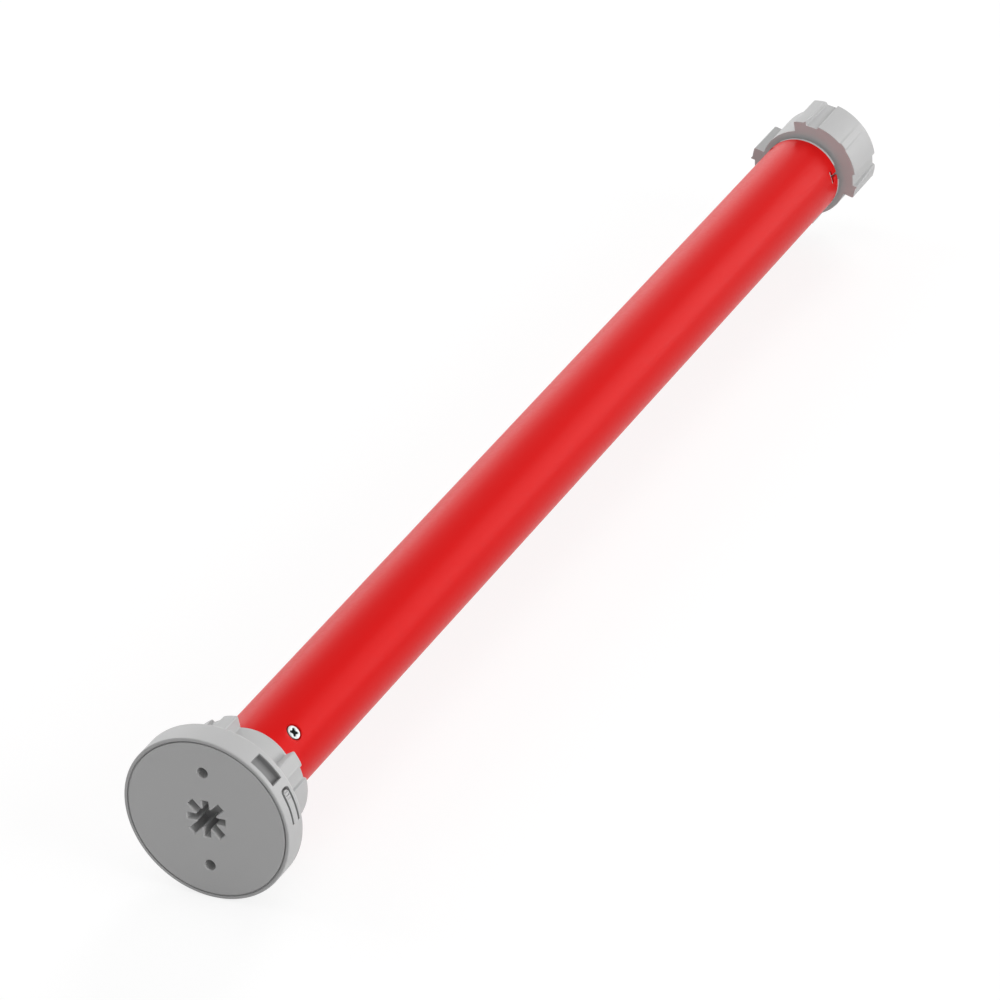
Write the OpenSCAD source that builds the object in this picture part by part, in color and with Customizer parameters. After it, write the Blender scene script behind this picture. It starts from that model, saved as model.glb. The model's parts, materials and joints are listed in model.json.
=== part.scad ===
// Tubular motor for a roller blind. Everything lies along one axle: X runs from the face of
// the head to the drive wheel, and Z along the line through the two screw holes in the face.

/* [Head] */
// Diameter of the head's rim
head_d = 48.4; // [47.6:0.1:52]
// Length of the head, from its face to its back
head_len = 8.3; // [8.2:0.1:10]
// Thickness of the rim's wall
rim_wall = 2.9; // [2.7:0.1:3]
// Thickness of the head's back wall
back_wall = 1.5; // [1.2:0.1:1.6]
// Rounding round the front of the rim
front_round = 0.7; // [0.3:0.1:0.8]
// Rounding round the back of the rim
back_round = 0.35; // [0.2:0.05:0.8]
// Width of the rim's front edge outside the groove
lip_w = 0.9; // [0.8:0.05:1.1]
// Width of the groove round the face plate
groove_w = 0.45; // [0.3:0.05:0.6]
// Depth of the groove round the face plate
groove_depth = 0.6; // [0.3:0.05:0.8]
// Radius of the hollow journal that the crown turns on
journal_r = 11.5; // [11.2:0.1:11.8]
// Wall of the journal
journal_wall = 1.55; // [1.2:0.05:1.6]

/* [Face plate] */
// Thickness of the plate at its edge
plate_t = 1.1; // [0.9:0.1:1.3]
// Bevel round the plate's front edge
plate_bevel = 0.2; // [0.1:0.05:0.3]
// Distance between the two screw holes
hole_pitch = 28.35; // [27:0.05:30]
// Diameter of the screw holes
hole_d = 3.1; // [2.6:0.1:3.5]
// Depth of the screw holes
hole_depth = 4.8; // [3:0.1:5]
// Wall round each screw hole
hole_wall = 1.2; // [0.8:0.1:1.5]
// Depth of the star socket
socket_depth = 8; // [6:0.5:10]
// Bevel round the mouth of the star socket
socket_bevel = 0.35; // [0.2:0.05:0.45]
// Floor of the star socket
socket_floor = 1.5; // [1:0.1:2]
// Reach of the four long arms of the star
long_arm_reach = 6.35; // [6:0.05:6.6]
// Width of the four long arms
long_arm_w = 2.1; // [1.6:0.1:2.4]
// Reach of the four short arms of the star
short_arm_reach = 5.5; // [5:0.1:6]
// Width of the four short arms
short_arm_w = 1.85; // [1.4:0.05:2.2]
// Radius of the round middle of the star
star_core_r = 3.6; // [3.5:0.1:4]
// Wall round the star socket
socket_wall = 1.2; // [1:0.1:1.3]

/* [Programming button] */
// Length of the tongue
button_len = 9.5; // [8.5:0.1:10]
// Width of the tongue along the axle
button_w = 2.15; // [1.8:0.05:2.3]
// Distance of the tongue's middle from the face
button_x = 4.69; // [4.5:0.01:4.8]
// Direction of the tongue's middle about the axle
button_a = 163.85; // [162:0.05:166]
// Width of the slot round the tongue
button_slot = 0.75; // [0.5:0.05:0.8]
// Rounding of the tongue's free corners
tip_round = 0.8; // [0.4:0.05:1]
// Thickness of the tongue
tongue_t = 1.3; // [1:0.05:1.4]
// Gap at the tongue's root
root_gap = 0.1; // [0.08:0.01:0.15]
// Width of each grip groove
grip_w = 0.35; // [0.2:0.05:0.45]
// Depth of each grip groove
grip_depth = 0.2; // [0.1:0.05:0.3]
// Distance from one grip groove to the next
grip_step = 0.9; // [0.7:0.05:1]
// Number of grip grooves
grip_count = 3; // [2:1:4]
// Length of the nub under the tongue
nub_len = 0.5; // [0.3:0.05:0.6]
// Radius of the switch's plunger, which rides on the nub
plunger_r = 0.7; // [0.5:0.05:0.75]
// Play round the plunger in the switch
plunger_play = 0.3; // [0.25:0.01:0.4]
// Travel of the switch's plunger
plunger_travel = 0.45; // [0.42:0.01:0.6]

/* [Charging window] */
// Direction of the window about the axle
window_a = 135; // [133:0.5:136]
// Length of the window round the rim
window_len = 8.4; // [7.8:0.1:8.6]
// Width of the window along the axle
window_w = 4.6; // [4:0.1:4.7]
// Distance of the window's middle from the face
window_x = 3.8; // [3.7:0.05:3.9]
// Depth of the plug's tray below the rim
tray_depth = 2.2; // [1.8:0.1:2.4]
// Floor of the plug's tray
tray_floor = 0.8; // [0.6:0.1:1]
// Wall of the plug's tray
tray_wall = 0.35; // [0.3:0.05:0.6]
// Length of the stub that reaches into the charging socket
stub_len = 1.6; // [1:0.1:2]
// Width of the charging socket's mouth
mouth_w = 6.5; // [6:0.1:6.8]
// Height of the charging socket's mouth
mouth_h = 2.1; // [1.8:0.1:2.2]
// Shell of the charging socket
mouth_wall = 0.5; // [0.3:0.05:0.6]
// Depth of the charging socket behind its mouth
socket_body = 7.4; // [6:0.1:8]

/* [Crown and drive wheel] */
// Radius of the broad sectors that fill the roller tube
sector_r = 17.46; // [17.2:0.02:18]
// Height of the bump in the middle of each broad sector
bump_h = 0.38; // [0.2:0.02:0.5]
// Half the width of the bump, in degrees
bump_a = 3.5; // [2:0.5:5]
// Half the width of each broad sector's arc, in degrees
arc_a = 32.5; // [28:0.5:34]
// Depth of the flat beside the arc
shelf_drop = 0.9; // [0.5:0.05:1.1]
// Where the outer rib starts, in degrees from the sector's middle
rib_a = 45.8; // [44:0.2:48]
// Half the width of a whole broad sector, in degrees
sector_a = 60.1; // [57:0.1:62]
// Height of the tooth on the inner edge of each rib
tooth_h = 0.45; // [0.2:0.05:0.6]
// Radius of the crown between its broad sectors
crown_low_r = 13.96; // [13.8:0.02:14.6]
// Radius of the drive wheel between its broad sectors
wheel_low_r = 14.23; // [13.8:0.01:14.8]
// Length of the crown
crown_len = 14.8; // [12:0.1:18]
// Length of the drive wheel
wheel_len = 16.2; // [14:0.1:20]
// Turn of the crown as it lies
crown_turn = 24; // [0:1:90]
// Turn of the drive wheel as it lies
wheel_turn = 140; // [90:1:180]
// Depth of the pockets in both
pocket_depth = 11; // [6:0.5:11.5]
// Wall between a pocket and the outside
pocket_wall = 1.5; // [1.2:0.1:1.7]
// Radius of the drive wheel's hub
hub_r = 6; // [5:0.1:7]
// Thickness of the drive wheel's spokes
spoke_t = 1.6; // [1:0.1:2]
// Number of spokes
spoke_count = 6; // [6:1:6]

/* [Washers] */
// Thickness of the washer in front of the crown
front_washer_t = 0.5; // [0.4:0.05:1]
// Thickness of the washer behind the crown
rear_washer_t = 0.9; // [0.5:0.05:1.2]
// Radial width of the washer in front of the crown
front_washer_w = 1.8; // [1:0.1:2]
// Radial width of the washer behind the crown
rear_washer_w = 0.8; // [0.5:0.05:0.85]
// Running gap along the axle
end_play = 0.1; // [0.05:0.01:0.2]

/* [Tube] */
// Outside diameter of the tube
tube_d = 25; // [24.8:0.1:26]
// Wall of the tube
tube_wall = 1; // [0.8:0.05:1.1]
// Thickness of the flanges that close the tube
flange_t = 1.15; // [0.8:0.05:2]
// Distance from the tube's end to its screws
screw_inset = 7.5; // [5:0.1:9]
// Direction of the first screw about the axle
screw_a = 135; // [120:1:150]
// Number of tube screws
screw_count = 2; // [2:1:4]
// Diameter of the screw heads
screw_head_d = 4.1; // [3.5:0.1:4.4]
// Diameter of the screws' threads
screw_d = 2; // [1.6:0.1:2.4]
// Length of the screws
screw_len = 5.5; // [4:0.1:6]
// Depth of the cross recess in the screw heads
cross_depth = 0.9; // [0.6:0.05:1]
// Direction of the first T-shaped slit about the axle
slit_a = 165; // [155:1:175]
// Number of T-shaped slits
slit_count = 3; // [3:1:3]
// Length of each slit's stem
slit_stem = 3.4; // [2.5:0.1:4]
// Width of each slit's stem
slit_stem_w = 0.65; // [0.5:0.05:1]
// Length of each slit's cross bar round the tube
slit_bar = 3.8; // [3:0.1:5]
// Width of each slit's cross bar
slit_bar_w = 0.9; // [0.6:0.05:1.2]
// Direction of the end flange's key about the axle
key_a = 225; // [220:1:230]
// Half the width of the key, in degrees
key_half = 8; // [5:0.5:10]
// Length of the key
key_len = 4.7; // [4:0.1:6]
// How far the key stands proud of the tube
key_proud = 0.12; // [0:0.02:0.3]

/* [Tube plug] */
// Length of the plug inside the tube
plug_len = 15; // [12:0.5:20]
// Length of the neck inside the journal
neck_len = 11; // [8:0.5:12]
// Radius of the way for the ribbon through the plug
plug_bore_r = 9; // [8.9:0.05:9.2]
// Width of the bosses that take the tube screws
boss_w = 5; // [4:0.1:6]
// Inner end of the bosses, measured from the axle
boss_in = 6; // [5.5:0.1:6.5]

/* [Boards] */
// Thickness of the head board
head_board_t = 0.8; // [0.6:0.1:1]
// Width of the ribbon
ribbon_w = 5; // [4:0.1:5.2]
// Thickness of the ribbon
ribbon_t = 0.4; // [0.3:0.05:0.5]
// Radius of the aerial's wire
aerial_r = 0.4; // [0.3:0.05:0.6]
// Radius of the aerial's loop
aerial_loop_r = 19.2; // [18:0.1:20]
// Length of the control board
board_len = 44; // [40:0.5:46]
// Width of the control board
board_w = 20; // [18:0.1:20.2]
// Thickness of the control board
board_t = 1; // [0.8:0.1:1.2]
// Distance of the control board's top from the axle
board_drop = 3.6; // [3:0.1:4]
// How deep the control board sits in its slots
board_seat = 2; // [1:0.1:3]
// Distance between rows of what is soldered to the control board
part_gap = 3; // [2:0.1:3.5]
// Width and length of the radio module
module_size = [12, 10]; // [4:0.5:16]
// Height of the radio module
module_h = 2.2; // [1:0.1:3]
// Width of the processor, which is square
chip_w = 7; // [4:0.1:8]
// Height of the processor
chip_h = 1.2; // [0.8:0.1:1.6]
// Radius of the capacitor
capacitor_r = 3.25; // [2.5:0.05:3.5]
// Length of the capacitor
capacitor_len = 9; // [6:0.1:10]
// Length of the motor driver
driver_len = 6; // [4:0.1:8]
// Height of the motor driver
driver_h = 5.5; // [3:0.1:6]

/* [Battery] */
// Number of cells
cell_count = 3; // [3:1:3]
// Diameter of a cell
cell_d = 18.4; // [18:0.1:18.6]
// Length of a cell
cell_len = 65; // [60:0.5:66]
// Thickness of the washers between the cells
insulator_t = 1; // [0.5:0.1:1.5]
// Thickness of the contact plates at both ends
contact_t = 0.9; // [0.5:0.1:1.2]
// Thickness of the tray's end walls
tray_end = 1.5; // [1:0.1:2.5]
// Radius of the leads
lead_r = 0.6; // [0.4:0.05:0.65]
// Length of the spacer between battery and motor, which sets the length of the tube
spacer_len = 22.8; // [12:0.1:60]

/* [Motor] */
// Diameter of the motor's can
can_d = 21.2; // [20:0.1:21.6]
// Length of the motor's can
can_len = 42; // [38:0.5:46]
// Wall of the can
can_wall = 0.8; // [0.6:0.05:1]
// Front wall of the can
can_front = 1.2; // [1:0.1:2]
// Length of the brush cap
cap_len = 4; // [3.5:0.1:5]
// Diameter of the rotor's shaft
shaft_d = 2; // [1.6:0.05:2.2]
// Running clearance round every shaft, pin and journal
run_gap = 0.04; // [0.03:0.005:0.06]
// Outside radius of the motor's bushes
bush_r = 2.5; // [2:0.1:2.8]
// Radius of the laminations
armature_r = 7.9; // [7:0.1:8]
// Length of the laminations
armature_len = 24; // [18:0.5:26]
// Air gap between laminations and magnets
air_gap = 0.3; // [0.2:0.05:0.4]
// Number of poles on the armature
pole_count = 5; // [5:2:7]
// Length of the windings' heads at each end
winding_head = 4; // [3:0.1:5]
// Radius of the commutator
commutator_r = 3.2; // [3:0.1:4]
// Length of the commutator
commutator_len = 2.3; // [1.5:0.1:2.4]
// Length of the rubber sleeve round the can
damper_len = 20; // [10:0.5:26]
// Distance from the brush cap to the hall sensor board
sensor_gap = 7; // [6:0.1:9]
// Length of the magnet on the rotor's tail
tail_magnet_len = 2; // [1.5:0.1:3]
// Radius of the magnet on the rotor's tail
tail_magnet_r = 3.5; // [2.5:0.1:4.5]

/* [Gearbox] */
// Gear module: pitch diameter over teeth
gear_m = 0.45; // [0.44:0.005:0.46]
// Pressure angle of the teeth
gear_pa = 25; // [23:0.5:25]
// Teeth of each sun
sun_teeth = 12; // [12:1:12]
// Teeth of each planet
planet_teeth = 15; // [15:1:15]
// Width of the planets
planet_w = 5.5; // [4:0.1:6]
// How much thinner each tooth is than a half pitch
tooth_thin = 0.07; // [0.06:0.01:0.09]
// Thickness of the carriers
carrier_t = 2; // [1.5:0.1:3]
// Gap between a carrier and what is beside it
stage_gap = 0.3; // [0.2:0.05:0.6]
// Radius of the carriers
carrier_r = 8.5; // [8.2:0.05:8.6]
// Radius of the planets' pins
pin_r = 1; // [0.8:0.05:1.2]
// Wall between the motor and the gears
gear_wall = 2; // [1.6:0.1:3]
// Diameter of the screws that hold the motor
motor_screw_d = 2; // [1.6:0.1:2.4]
// Distance of these screws from the axle
motor_screw_r = 7; // [6.5:0.1:7.4]

/* [Drive end] */
// Length of the end flange's plug inside the tube
end_plug_len = 13; // [10:0.5:16]
// Radius of the output shaft
output_r = 3; // [2.6:0.05:3.2]
// Distance across the flats of the output shaft
output_flats = 4.8; // [4.4:0.1:5]
// Wall of the output bush
output_bush_wall = 1.5; // [1:0.1:2]
// Thickness of the output bush's collar
bush_collar_t = 0.8; // [0.6:0.05:0.9]
// Gap between the end flange and the drive wheel
wheel_gap = 1.13; // [1.1:0.01:2]
// Half the width of the notches in the end flange, in degrees
notch_half = 12; // [10:0.5:14]
// Depth of the notches inside the tube's wall
notch_depth = 0.4; // [0.1:0.05:0.8]
// Depth of the pockets under the slits
lip_drop = 0.25; // [0.1:0.05:0.9]
// Thickness of the clip on the output shaft
clip_t = 0.6; // [0.4:0.05:0.8]
// Depth of the wheel clip inside the drive wheel's end
clip_inset = 2.2; // [1.4:0.1:3]
// Length of the output shaft past the clip
shaft_stub = 1.2; // [0.8:0.1:1.4]

/* [Hidden] */

$fn = 96;
// Slip of pieces that sit in each other, all round
fit_gap = 0.05;
// How far a cut runs past what it cuts
over = 1;

// Colours
light_grey = [0.76, 0.76, 0.76];
mid_grey = [0.62, 0.62, 0.62];
dark_grey = [0.30, 0.30, 0.31];
tube_red = [0.80, 0.05, 0.05];
steel = [0.72, 0.73, 0.75];
brass = [0.78, 0.62, 0.30];
board_green = [0.08, 0.33, 0.18];
white_nylon = [0.92, 0.91, 0.86];
copper = [0.72, 0.40, 0.22];
black_rubber = [0.07, 0.07, 0.07];

// Head
head_r = head_d / 2;
lip_r = head_r - lip_w;
plate_r = lip_r - groove_w;
rim_in_r = head_r - rim_wall;
journal_bore_r = journal_r - journal_wall;
cavity_back = head_len - back_wall;
board_face = cavity_back - head_board_t;
socket_boss_r = long_arm_reach + socket_wall;
hole_boss_r = hole_d / 2 + hole_wall;

// Places along the axle at the head
front_washer_x = head_len + end_play;
crown_x = front_washer_x + front_washer_t + end_play;
rear_washer_x = crown_x + crown_len + end_play;
journal_end = rear_washer_x + rear_washer_t + end_play;
tube_x = journal_end + flange_t;
plug_end = tube_x + plug_len;

// Tube
tube_r = tube_d / 2;
tube_in_r = tube_r - tube_wall;
in_tube_r = tube_in_r - fit_gap;
screw_x = tube_x + screw_inset;
screw_angles = [for (i = [0:screw_count - 1]) screw_a + i * 360 / screw_count];
slit_angles = [for (i = [0:slit_count - 1]) slit_a + i * 360 / slit_count];
head_sink = tube_r - sqrt(tube_r ^ 2 - (screw_head_d / 2) ^ 2);
head_h = tube_wall - head_sink - fit_gap;

// Button: where the nub and the switch stand
nub_inset = grip_w + grip_step * (grip_count - 1) / 2 + 0.2;
nub_a = button_a - asin((button_len / 2 - nub_inset) / head_r);
nub_end = head_r - tongue_t - nub_len;
switch_top = rim_in_r - 0.35;
switch_hole = switch_top - 1.4;

// Charging socket
tray_bottom = head_r - tray_depth - tray_floor;
mouth_top = tray_bottom - 0.55;

// Control board and battery
board_x = plug_end - board_seat;
tray_seat = tray_end - 0.4;
tray_x = board_x + board_len - tray_seat;
tray_r = in_tube_r - fit_gap;
cell_r = cell_d / 2;
cells_x = tray_x + tray_end + contact_t;
cell_step = cell_len + insulator_t;
cells_end = cells_x + cell_count * cell_len + (cell_count - 1) * insulator_t;
tray_len = cells_end + contact_t + tray_end - tray_x;
tray_out = tray_x + tray_len;
lead_way = cell_r + lead_r + 0.1;
lead_angles = [80, 100];

// Gears
ring_teeth = sun_teeth + 2 * planet_teeth;
sun_pitch_r = gear_m * sun_teeth / 2;
planet_pitch_r = gear_m * planet_teeth / 2;
orbit_r = sun_pitch_r + planet_pitch_r;
addendum = 0.8 * gear_m;
dedendum = 1.05 * gear_m;
planet_angles = [0, 120, 240];
stage_len = planet_w + 2 * stage_gap + carrier_t;
stages = 3;

// Pockets under the broad sectors
pocket_r = sector_r - shelf_drop - pocket_wall;
pocket_end = sector_a - asin((pocket_wall + 0.2) / crown_low_r);
pocket_start = asin((spoke_t / 2 + 0.2) / crown_low_r);
pocket_mid = (pocket_end + pocket_start) / 2;
pocket_half = (pocket_end - pocket_start) / 2;

// Places along the axle from the motor to the drive end
cap_x = tray_out + spacer_len;
can_x = cap_x + cap_len;
gearbox_x = can_x + can_len;
gearbox_len = gear_wall + stage_gap + stages * stage_len;
end_x = gearbox_x + gearbox_len;
tube_end = end_x + end_plug_len;
tube_len = tube_end - tube_x;
flange_out = tube_end + flange_t;
wheel_x = flange_out + wheel_gap;
sensor_x = cap_x - sensor_gap;
can_r = can_d / 2;
shaft_r = shaft_d / 2;
rotor_x = sensor_x + 1.7;
magnet_r = armature_r + air_gap;
armature_x = can_x + (can_len - can_front - armature_len) / 2;
output_bush_r = output_r + output_bush_wall;
clip_x = wheel_x + wheel_len - clip_inset;
clip_bore_r = 0.8 * output_r;
hub_h = clip_x - wheel_x - wheel_len + pocket_depth + 0.2;
shaft_out = clip_x + clip_t + shaft_stub;

function polar(r, a) = [r * cos(a), r * sin(a)];
function arc(r, a0, a1, n = 6, c = [0, 0]) =
    [for (i = [0:n]) c + polar(r, a0 + (a1 - a0) * i / n)];

// A place along the axle, with z along it and x, y across it
module axle(x = 0) translate([x, 0, 0]) rotate([90, 0, 90]) children();
// A look along the radius at angle a: x round the axle, y along it and z outwards
module outward(a) rotate(a) rotate([90, 0, 90]) children();
module pipe(r, bore, h) rotate_extrude() translate([bore, 0]) square([r - bore, h]);
// A piece of pipe from angle a0 to a1
module arc_pipe(r, bore, h, a0, a1)
    rotate(a0) rotate_extrude(angle = a1 - a0) translate([bore, 0]) square([r - bore, h]);

// Head

module star() {
    circle(r = star_core_r);
    for (a = [45:90:315]) rotate(a) translate([0, -long_arm_w / 2])
        square([long_arm_reach, long_arm_w]);
    for (a = [0:90:270]) rotate(a) translate([0, -short_arm_w / 2])
        square([short_arm_reach, short_arm_w]);
}

// Bevel round the star's mouth, along the sides and the end of each arm
module star_bevel() {
    c = socket_bevel;
    for (i = [0:7]) rotate(45 * i) rotate([90, 0, 90]) {
        w = i % 2 == 1 ? long_arm_w : short_arm_w;
        reach = i % 2 == 1 ? long_arm_reach : short_arm_reach;
        linear_extrude(reach) polygon([[-w / 2 - c - over, -over], [w / 2 + c + over, -over],
            [w / 2, c], [-w / 2, c]]);
        rotate([0, 90, 0]) translate([0, 0, -w / 2]) linear_extrude(w)
            polygon([[0, -over], [-reach - c - over, -over], [-reach, c], [0, c]]);
    }
}

// The tongue's outline laid flat, grown by g on three sides, with its root to the right
module tongue_outline(g, round_r, cut) translate([-button_len / 2 - g, -button_w / 2 - g]) {
    w = button_w + 2 * g;
    translate([round_r, 0]) square([button_len + g - round_r - cut, w]);
    translate([0, round_r]) square([2 * round_r, w - 2 * round_r]);
    for (y = [round_r, w - round_r]) translate([round_r, y]) circle(r = round_r);
}

module head_housing() color(light_grey) axle() difference() {
    rotate_extrude() polygon(concat(
        [[lip_r, groove_depth], [lip_r, 0]],
        arc(front_round, -90, 0, c = [head_r - front_round, front_round]),
        arc(back_round, 0, 90, c = [head_r - back_round, head_len - back_round]),
        [[journal_r, head_len], [journal_r, journal_end], [journal_bore_r, journal_end],
            [journal_bore_r, cavity_back], [rim_in_r, cavity_back], [rim_in_r, plate_t],
            [plate_r + fit_gap, plate_t], [plate_r + fit_gap, groove_depth]]));
    outward(window_a)
        translate([-window_len / 2, window_x - window_w / 2, rim_in_r - over])
            cube([window_len, window_w, rim_wall + 2 * over]);
    outward(button_a) translate([0, button_x, rim_in_r - over])
        linear_extrude(rim_wall + 2 * over)
            tongue_outline(button_slot, tip_round + button_slot / 2, 0);
}

module face_plate() color(mid_grey) axle() difference() {
    union() {
        rotate_extrude() polygon([[0, 0], [plate_r - plate_bevel, 0], [plate_r, plate_bevel],
            [plate_r, plate_t], [0, plate_t]]);
        cylinder(r = socket_boss_r, h = socket_depth + socket_floor);
        for (s = [-1, 1]) translate([0, s * hole_pitch / 2, 0])
            cylinder(r = hole_boss_r, h = board_face);
        // Stiffening ribs behind the plate, clear of the sockets and the switch
        for (a = [0, 50, 230, 310]) rotate(a) translate([socket_boss_r - over, -0.5, 0])
            cube([rim_in_r - socket_boss_r, 1, plate_t + 1.4]);
        // Skirt that centres the plate in the rim
        arc_pipe(rim_in_r - fit_gap, rim_in_r - 1.1, plate_t + 1, 185, 475);
    }
    translate([0, 0, -over]) linear_extrude(socket_depth + over) star();
    star_bevel();
    for (s = [-1, 1]) translate([0, s * hole_pitch / 2, -over])
        cylinder(d = hole_d, h = hole_depth + over);
}

module button_tongue() color(light_grey) axle() {
    difference() {
        intersection() {
            translate([0, 0, button_x - button_w]) pipe(head_r, head_r - tongue_t, 2 * button_w);
            outward(button_a) translate([0, button_x, 0]) linear_extrude(head_r + over)
                tongue_outline(0, tip_round, root_gap);
        }
        for (i = [0:grip_count - 1]) outward(button_a)
            translate([-button_len / 2 + 0.5 + i * grip_step - grip_w / 2,
                button_x - button_w / 2 + 0.3, head_r * cos(11) - grip_depth])
                cube([grip_w, button_w - 0.6, head_r]);
    }
    outward(nub_a) translate([0, button_x, nub_end]) cylinder(r = plunger_r, h = nub_len + 0.3);
}

module port_plug() color(dark_grey) axle() outward(window_a) translate([0, window_x, 0]) {
    len = window_len - 2 * fit_gap;
    w = window_w - 2 * fit_gap;
    difference() {
        intersection() {
            translate([-len / 2, -w / 2, tray_bottom]) cube([len, w, head_r]);
            translate([0, w, 0]) rotate([90, 0, 0]) cylinder(r = head_r - fit_gap, h = 2 * w);
        }
        translate([tray_wall - len / 2, tray_wall - w / 2, tray_bottom + tray_floor])
            cube([len - 2 * tray_wall, w - 2 * tray_wall, head_r]);
    }
    translate([fit_gap - mouth_w / 2, fit_gap - mouth_h / 2, tray_bottom - stub_len])
        cube([mouth_w - 2 * fit_gap, mouth_h - 2 * fit_gap, stub_len]);
}

module charging_socket() color(steel) axle() outward(window_a) {
    foot = board_face - window_x;
    difference() {
        translate([-mouth_w / 2 - mouth_wall, window_x - mouth_h / 2 - mouth_wall,
            mouth_top - socket_body])
            cube([mouth_w + 2 * mouth_wall, mouth_h / 2 + mouth_wall + foot, socket_body]);
        translate([-mouth_w / 2, window_x - mouth_h / 2, mouth_top - socket_body + mouth_wall])
            cube([mouth_w, mouth_h, socket_body]);
    }
    // Contact tongue on the socket's floor, below the reach of the plug's stub
    translate([-mouth_w / 3, window_x - 0.35, mouth_top - socket_body])
        cube([2 * mouth_w / 3, 0.7, socket_body - stub_len - 0.3]);
}

module head_board() color(board_green) axle(board_face) difference() {
    pipe(rim_in_r - 0.5, journal_bore_r + 0.4, head_board_t);
    for (s = [-1, 1]) translate([0, s * hole_pitch / 2, -over])
        cylinder(r = hole_boss_r + 0.3, h = head_board_t + 2 * over);
}

module tact_switch() color(dark_grey) axle() outward(nub_a) difference() {
    translate([-2.2, button_x - 1.35, switch_top - 3.4])
        cube([4.4, board_face - button_x + 1.35, 3.4]);
    translate([0, button_x, switch_hole]) cylinder(r = plunger_r + plunger_play, h = 3);
}

module switch_plunger() color(white_nylon) axle() outward(nub_a)
    translate([0, button_x, switch_hole + plunger_travel + 0.05])
        cylinder(r = plunger_r, h = nub_end - switch_hole - plunger_travel - 0.05);

module antenna_wire() color(copper) axle(board_face - aerial_r - 0.02)
    rotate(195) rotate_extrude(angle = 150) translate([aerial_loop_r, 0]) circle(r = aerial_r, $fn = 24);

module front_washer() color(white_nylon) axle(front_washer_x)
    pipe(journal_r + fit_gap + front_washer_w, journal_r + fit_gap, front_washer_t);

module rear_washer() color(white_nylon) axle(rear_washer_x)
    pipe(journal_r + fit_gap + rear_washer_w, journal_r + fit_gap, rear_washer_t);

// Crown and drive wheel

// One quarter of the outline, from the middle of a broad sector to the middle of a low one
function quarter(low_r) = let(shelf_r = sector_r - shelf_drop, tooth_r = sector_r + tooth_h)
    concat(
        [for (i = [0:8]) [arc_a * i / 8, sector_r]],
        [for (i = [0:4]) let(a0 = arc_a + 0.8) [a0 + (rib_a - a0) * i / 4, shelf_r]],
        [[rib_a + 0.3, tooth_r - 0.1], [rib_a + 0.7, tooth_r], [rib_a + 1.6, tooth_r - 0.05]],
        [for (i = [0:4]) let(a0 = rib_a + 2.8, a1 = sector_a - 1.6)
            [a0 + (a1 - a0) * i / 4, sector_r]],
        [[sector_a - 0.5, sector_r - 0.12], [sector_a, sector_r - 0.5]],
        [for (i = [0:8]) [sector_a + 0.2 + (90 - sector_a - 0.2) * i / 8, low_r]]);

function roller_outline(low_r) = let(q = quarter(low_r), n = len(q))
    [for (half = [0, 180]) for (s = [-1, 1]) for (i = [0:n - 2])
        let(p = s < 0 ? q[n - 1 - i] : q[i]) polar(p[1], half + s * p[0])];

// The ribbed form, with a bump on each broad sector that runs out towards the far end
module roller_form(low_r, len) {
    linear_extrude(len) polygon(roller_outline(low_r));
    for (half = [0, 180]) intersection() {
        arc_pipe(sector_r + bump_h + over, sector_r - 1, len, half - bump_a, half + bump_a);
        cylinder(r1 = sector_r + bump_h, r2 = sector_r - 0.1, h = len);
    }
}

// Pockets under the broad sectors, open at z = 0 and closed by walls of even thickness
module sector_pockets(inner_r) for (half = [0, 180]) for (s = [-1, 1]) translate([0, 0, -over])
    arc_pipe(pocket_r, inner_r, pocket_depth + over, half + s * pocket_mid - pocket_half,
        half + s * pocket_mid + pocket_half);

module crown() color(light_grey) axle(crown_x) rotate(crown_turn) difference() {
    roller_form(crown_low_r, crown_len);
    translate([0, 0, -over]) cylinder(r = journal_r + 2 * run_gap, h = crown_len + 2 * over);
    translate([0, 0, crown_len]) mirror([0, 0, 1])
        sector_pockets(journal_r + 2 * run_gap + pocket_wall);
}

module double_d(r, flats) intersection() {
    circle(r = r);
    square([2 * r + over, flats], center = true);
}

module drive_wheel() color(light_grey) axle(wheel_x) rotate(wheel_turn) difference() {
    union() {
        difference() {
            roller_form(wheel_low_r, wheel_len);
            translate([0, 0, wheel_len]) mirror([0, 0, 1])
                sector_pockets(wheel_low_r - pocket_wall - 0.5);
            translate([0, 0, wheel_len - pocket_depth])
                cylinder(r = wheel_low_r - pocket_wall, h = pocket_depth + over);
        }
        translate([0, 0, wheel_len - pocket_depth - 0.2]) cylinder(r = hub_r, h = hub_h);
        for (i = [0:spoke_count - 1]) rotate(i * 360 / spoke_count)
            translate([hub_r - 0.5, -spoke_t / 2, wheel_len - pocket_depth - 0.2])
                cube([wheel_low_r - pocket_wall - hub_r + 0.8, spoke_t, hub_h - 1]);
    }
    translate([0, 0, -over]) linear_extrude(wheel_len + 2 * over)
        double_d(output_r + fit_gap, output_flats + 2 * fit_gap);
}

module wheel_clip() color(steel) axle(clip_x) difference() {
    pipe(output_r + 1.4, clip_bore_r, clip_t);
    translate([0, -output_r / 2 + 0.3, -over])
        cube([2 * output_r, output_r - 0.6, clip_t + 2 * over]);
}

// Tube

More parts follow.
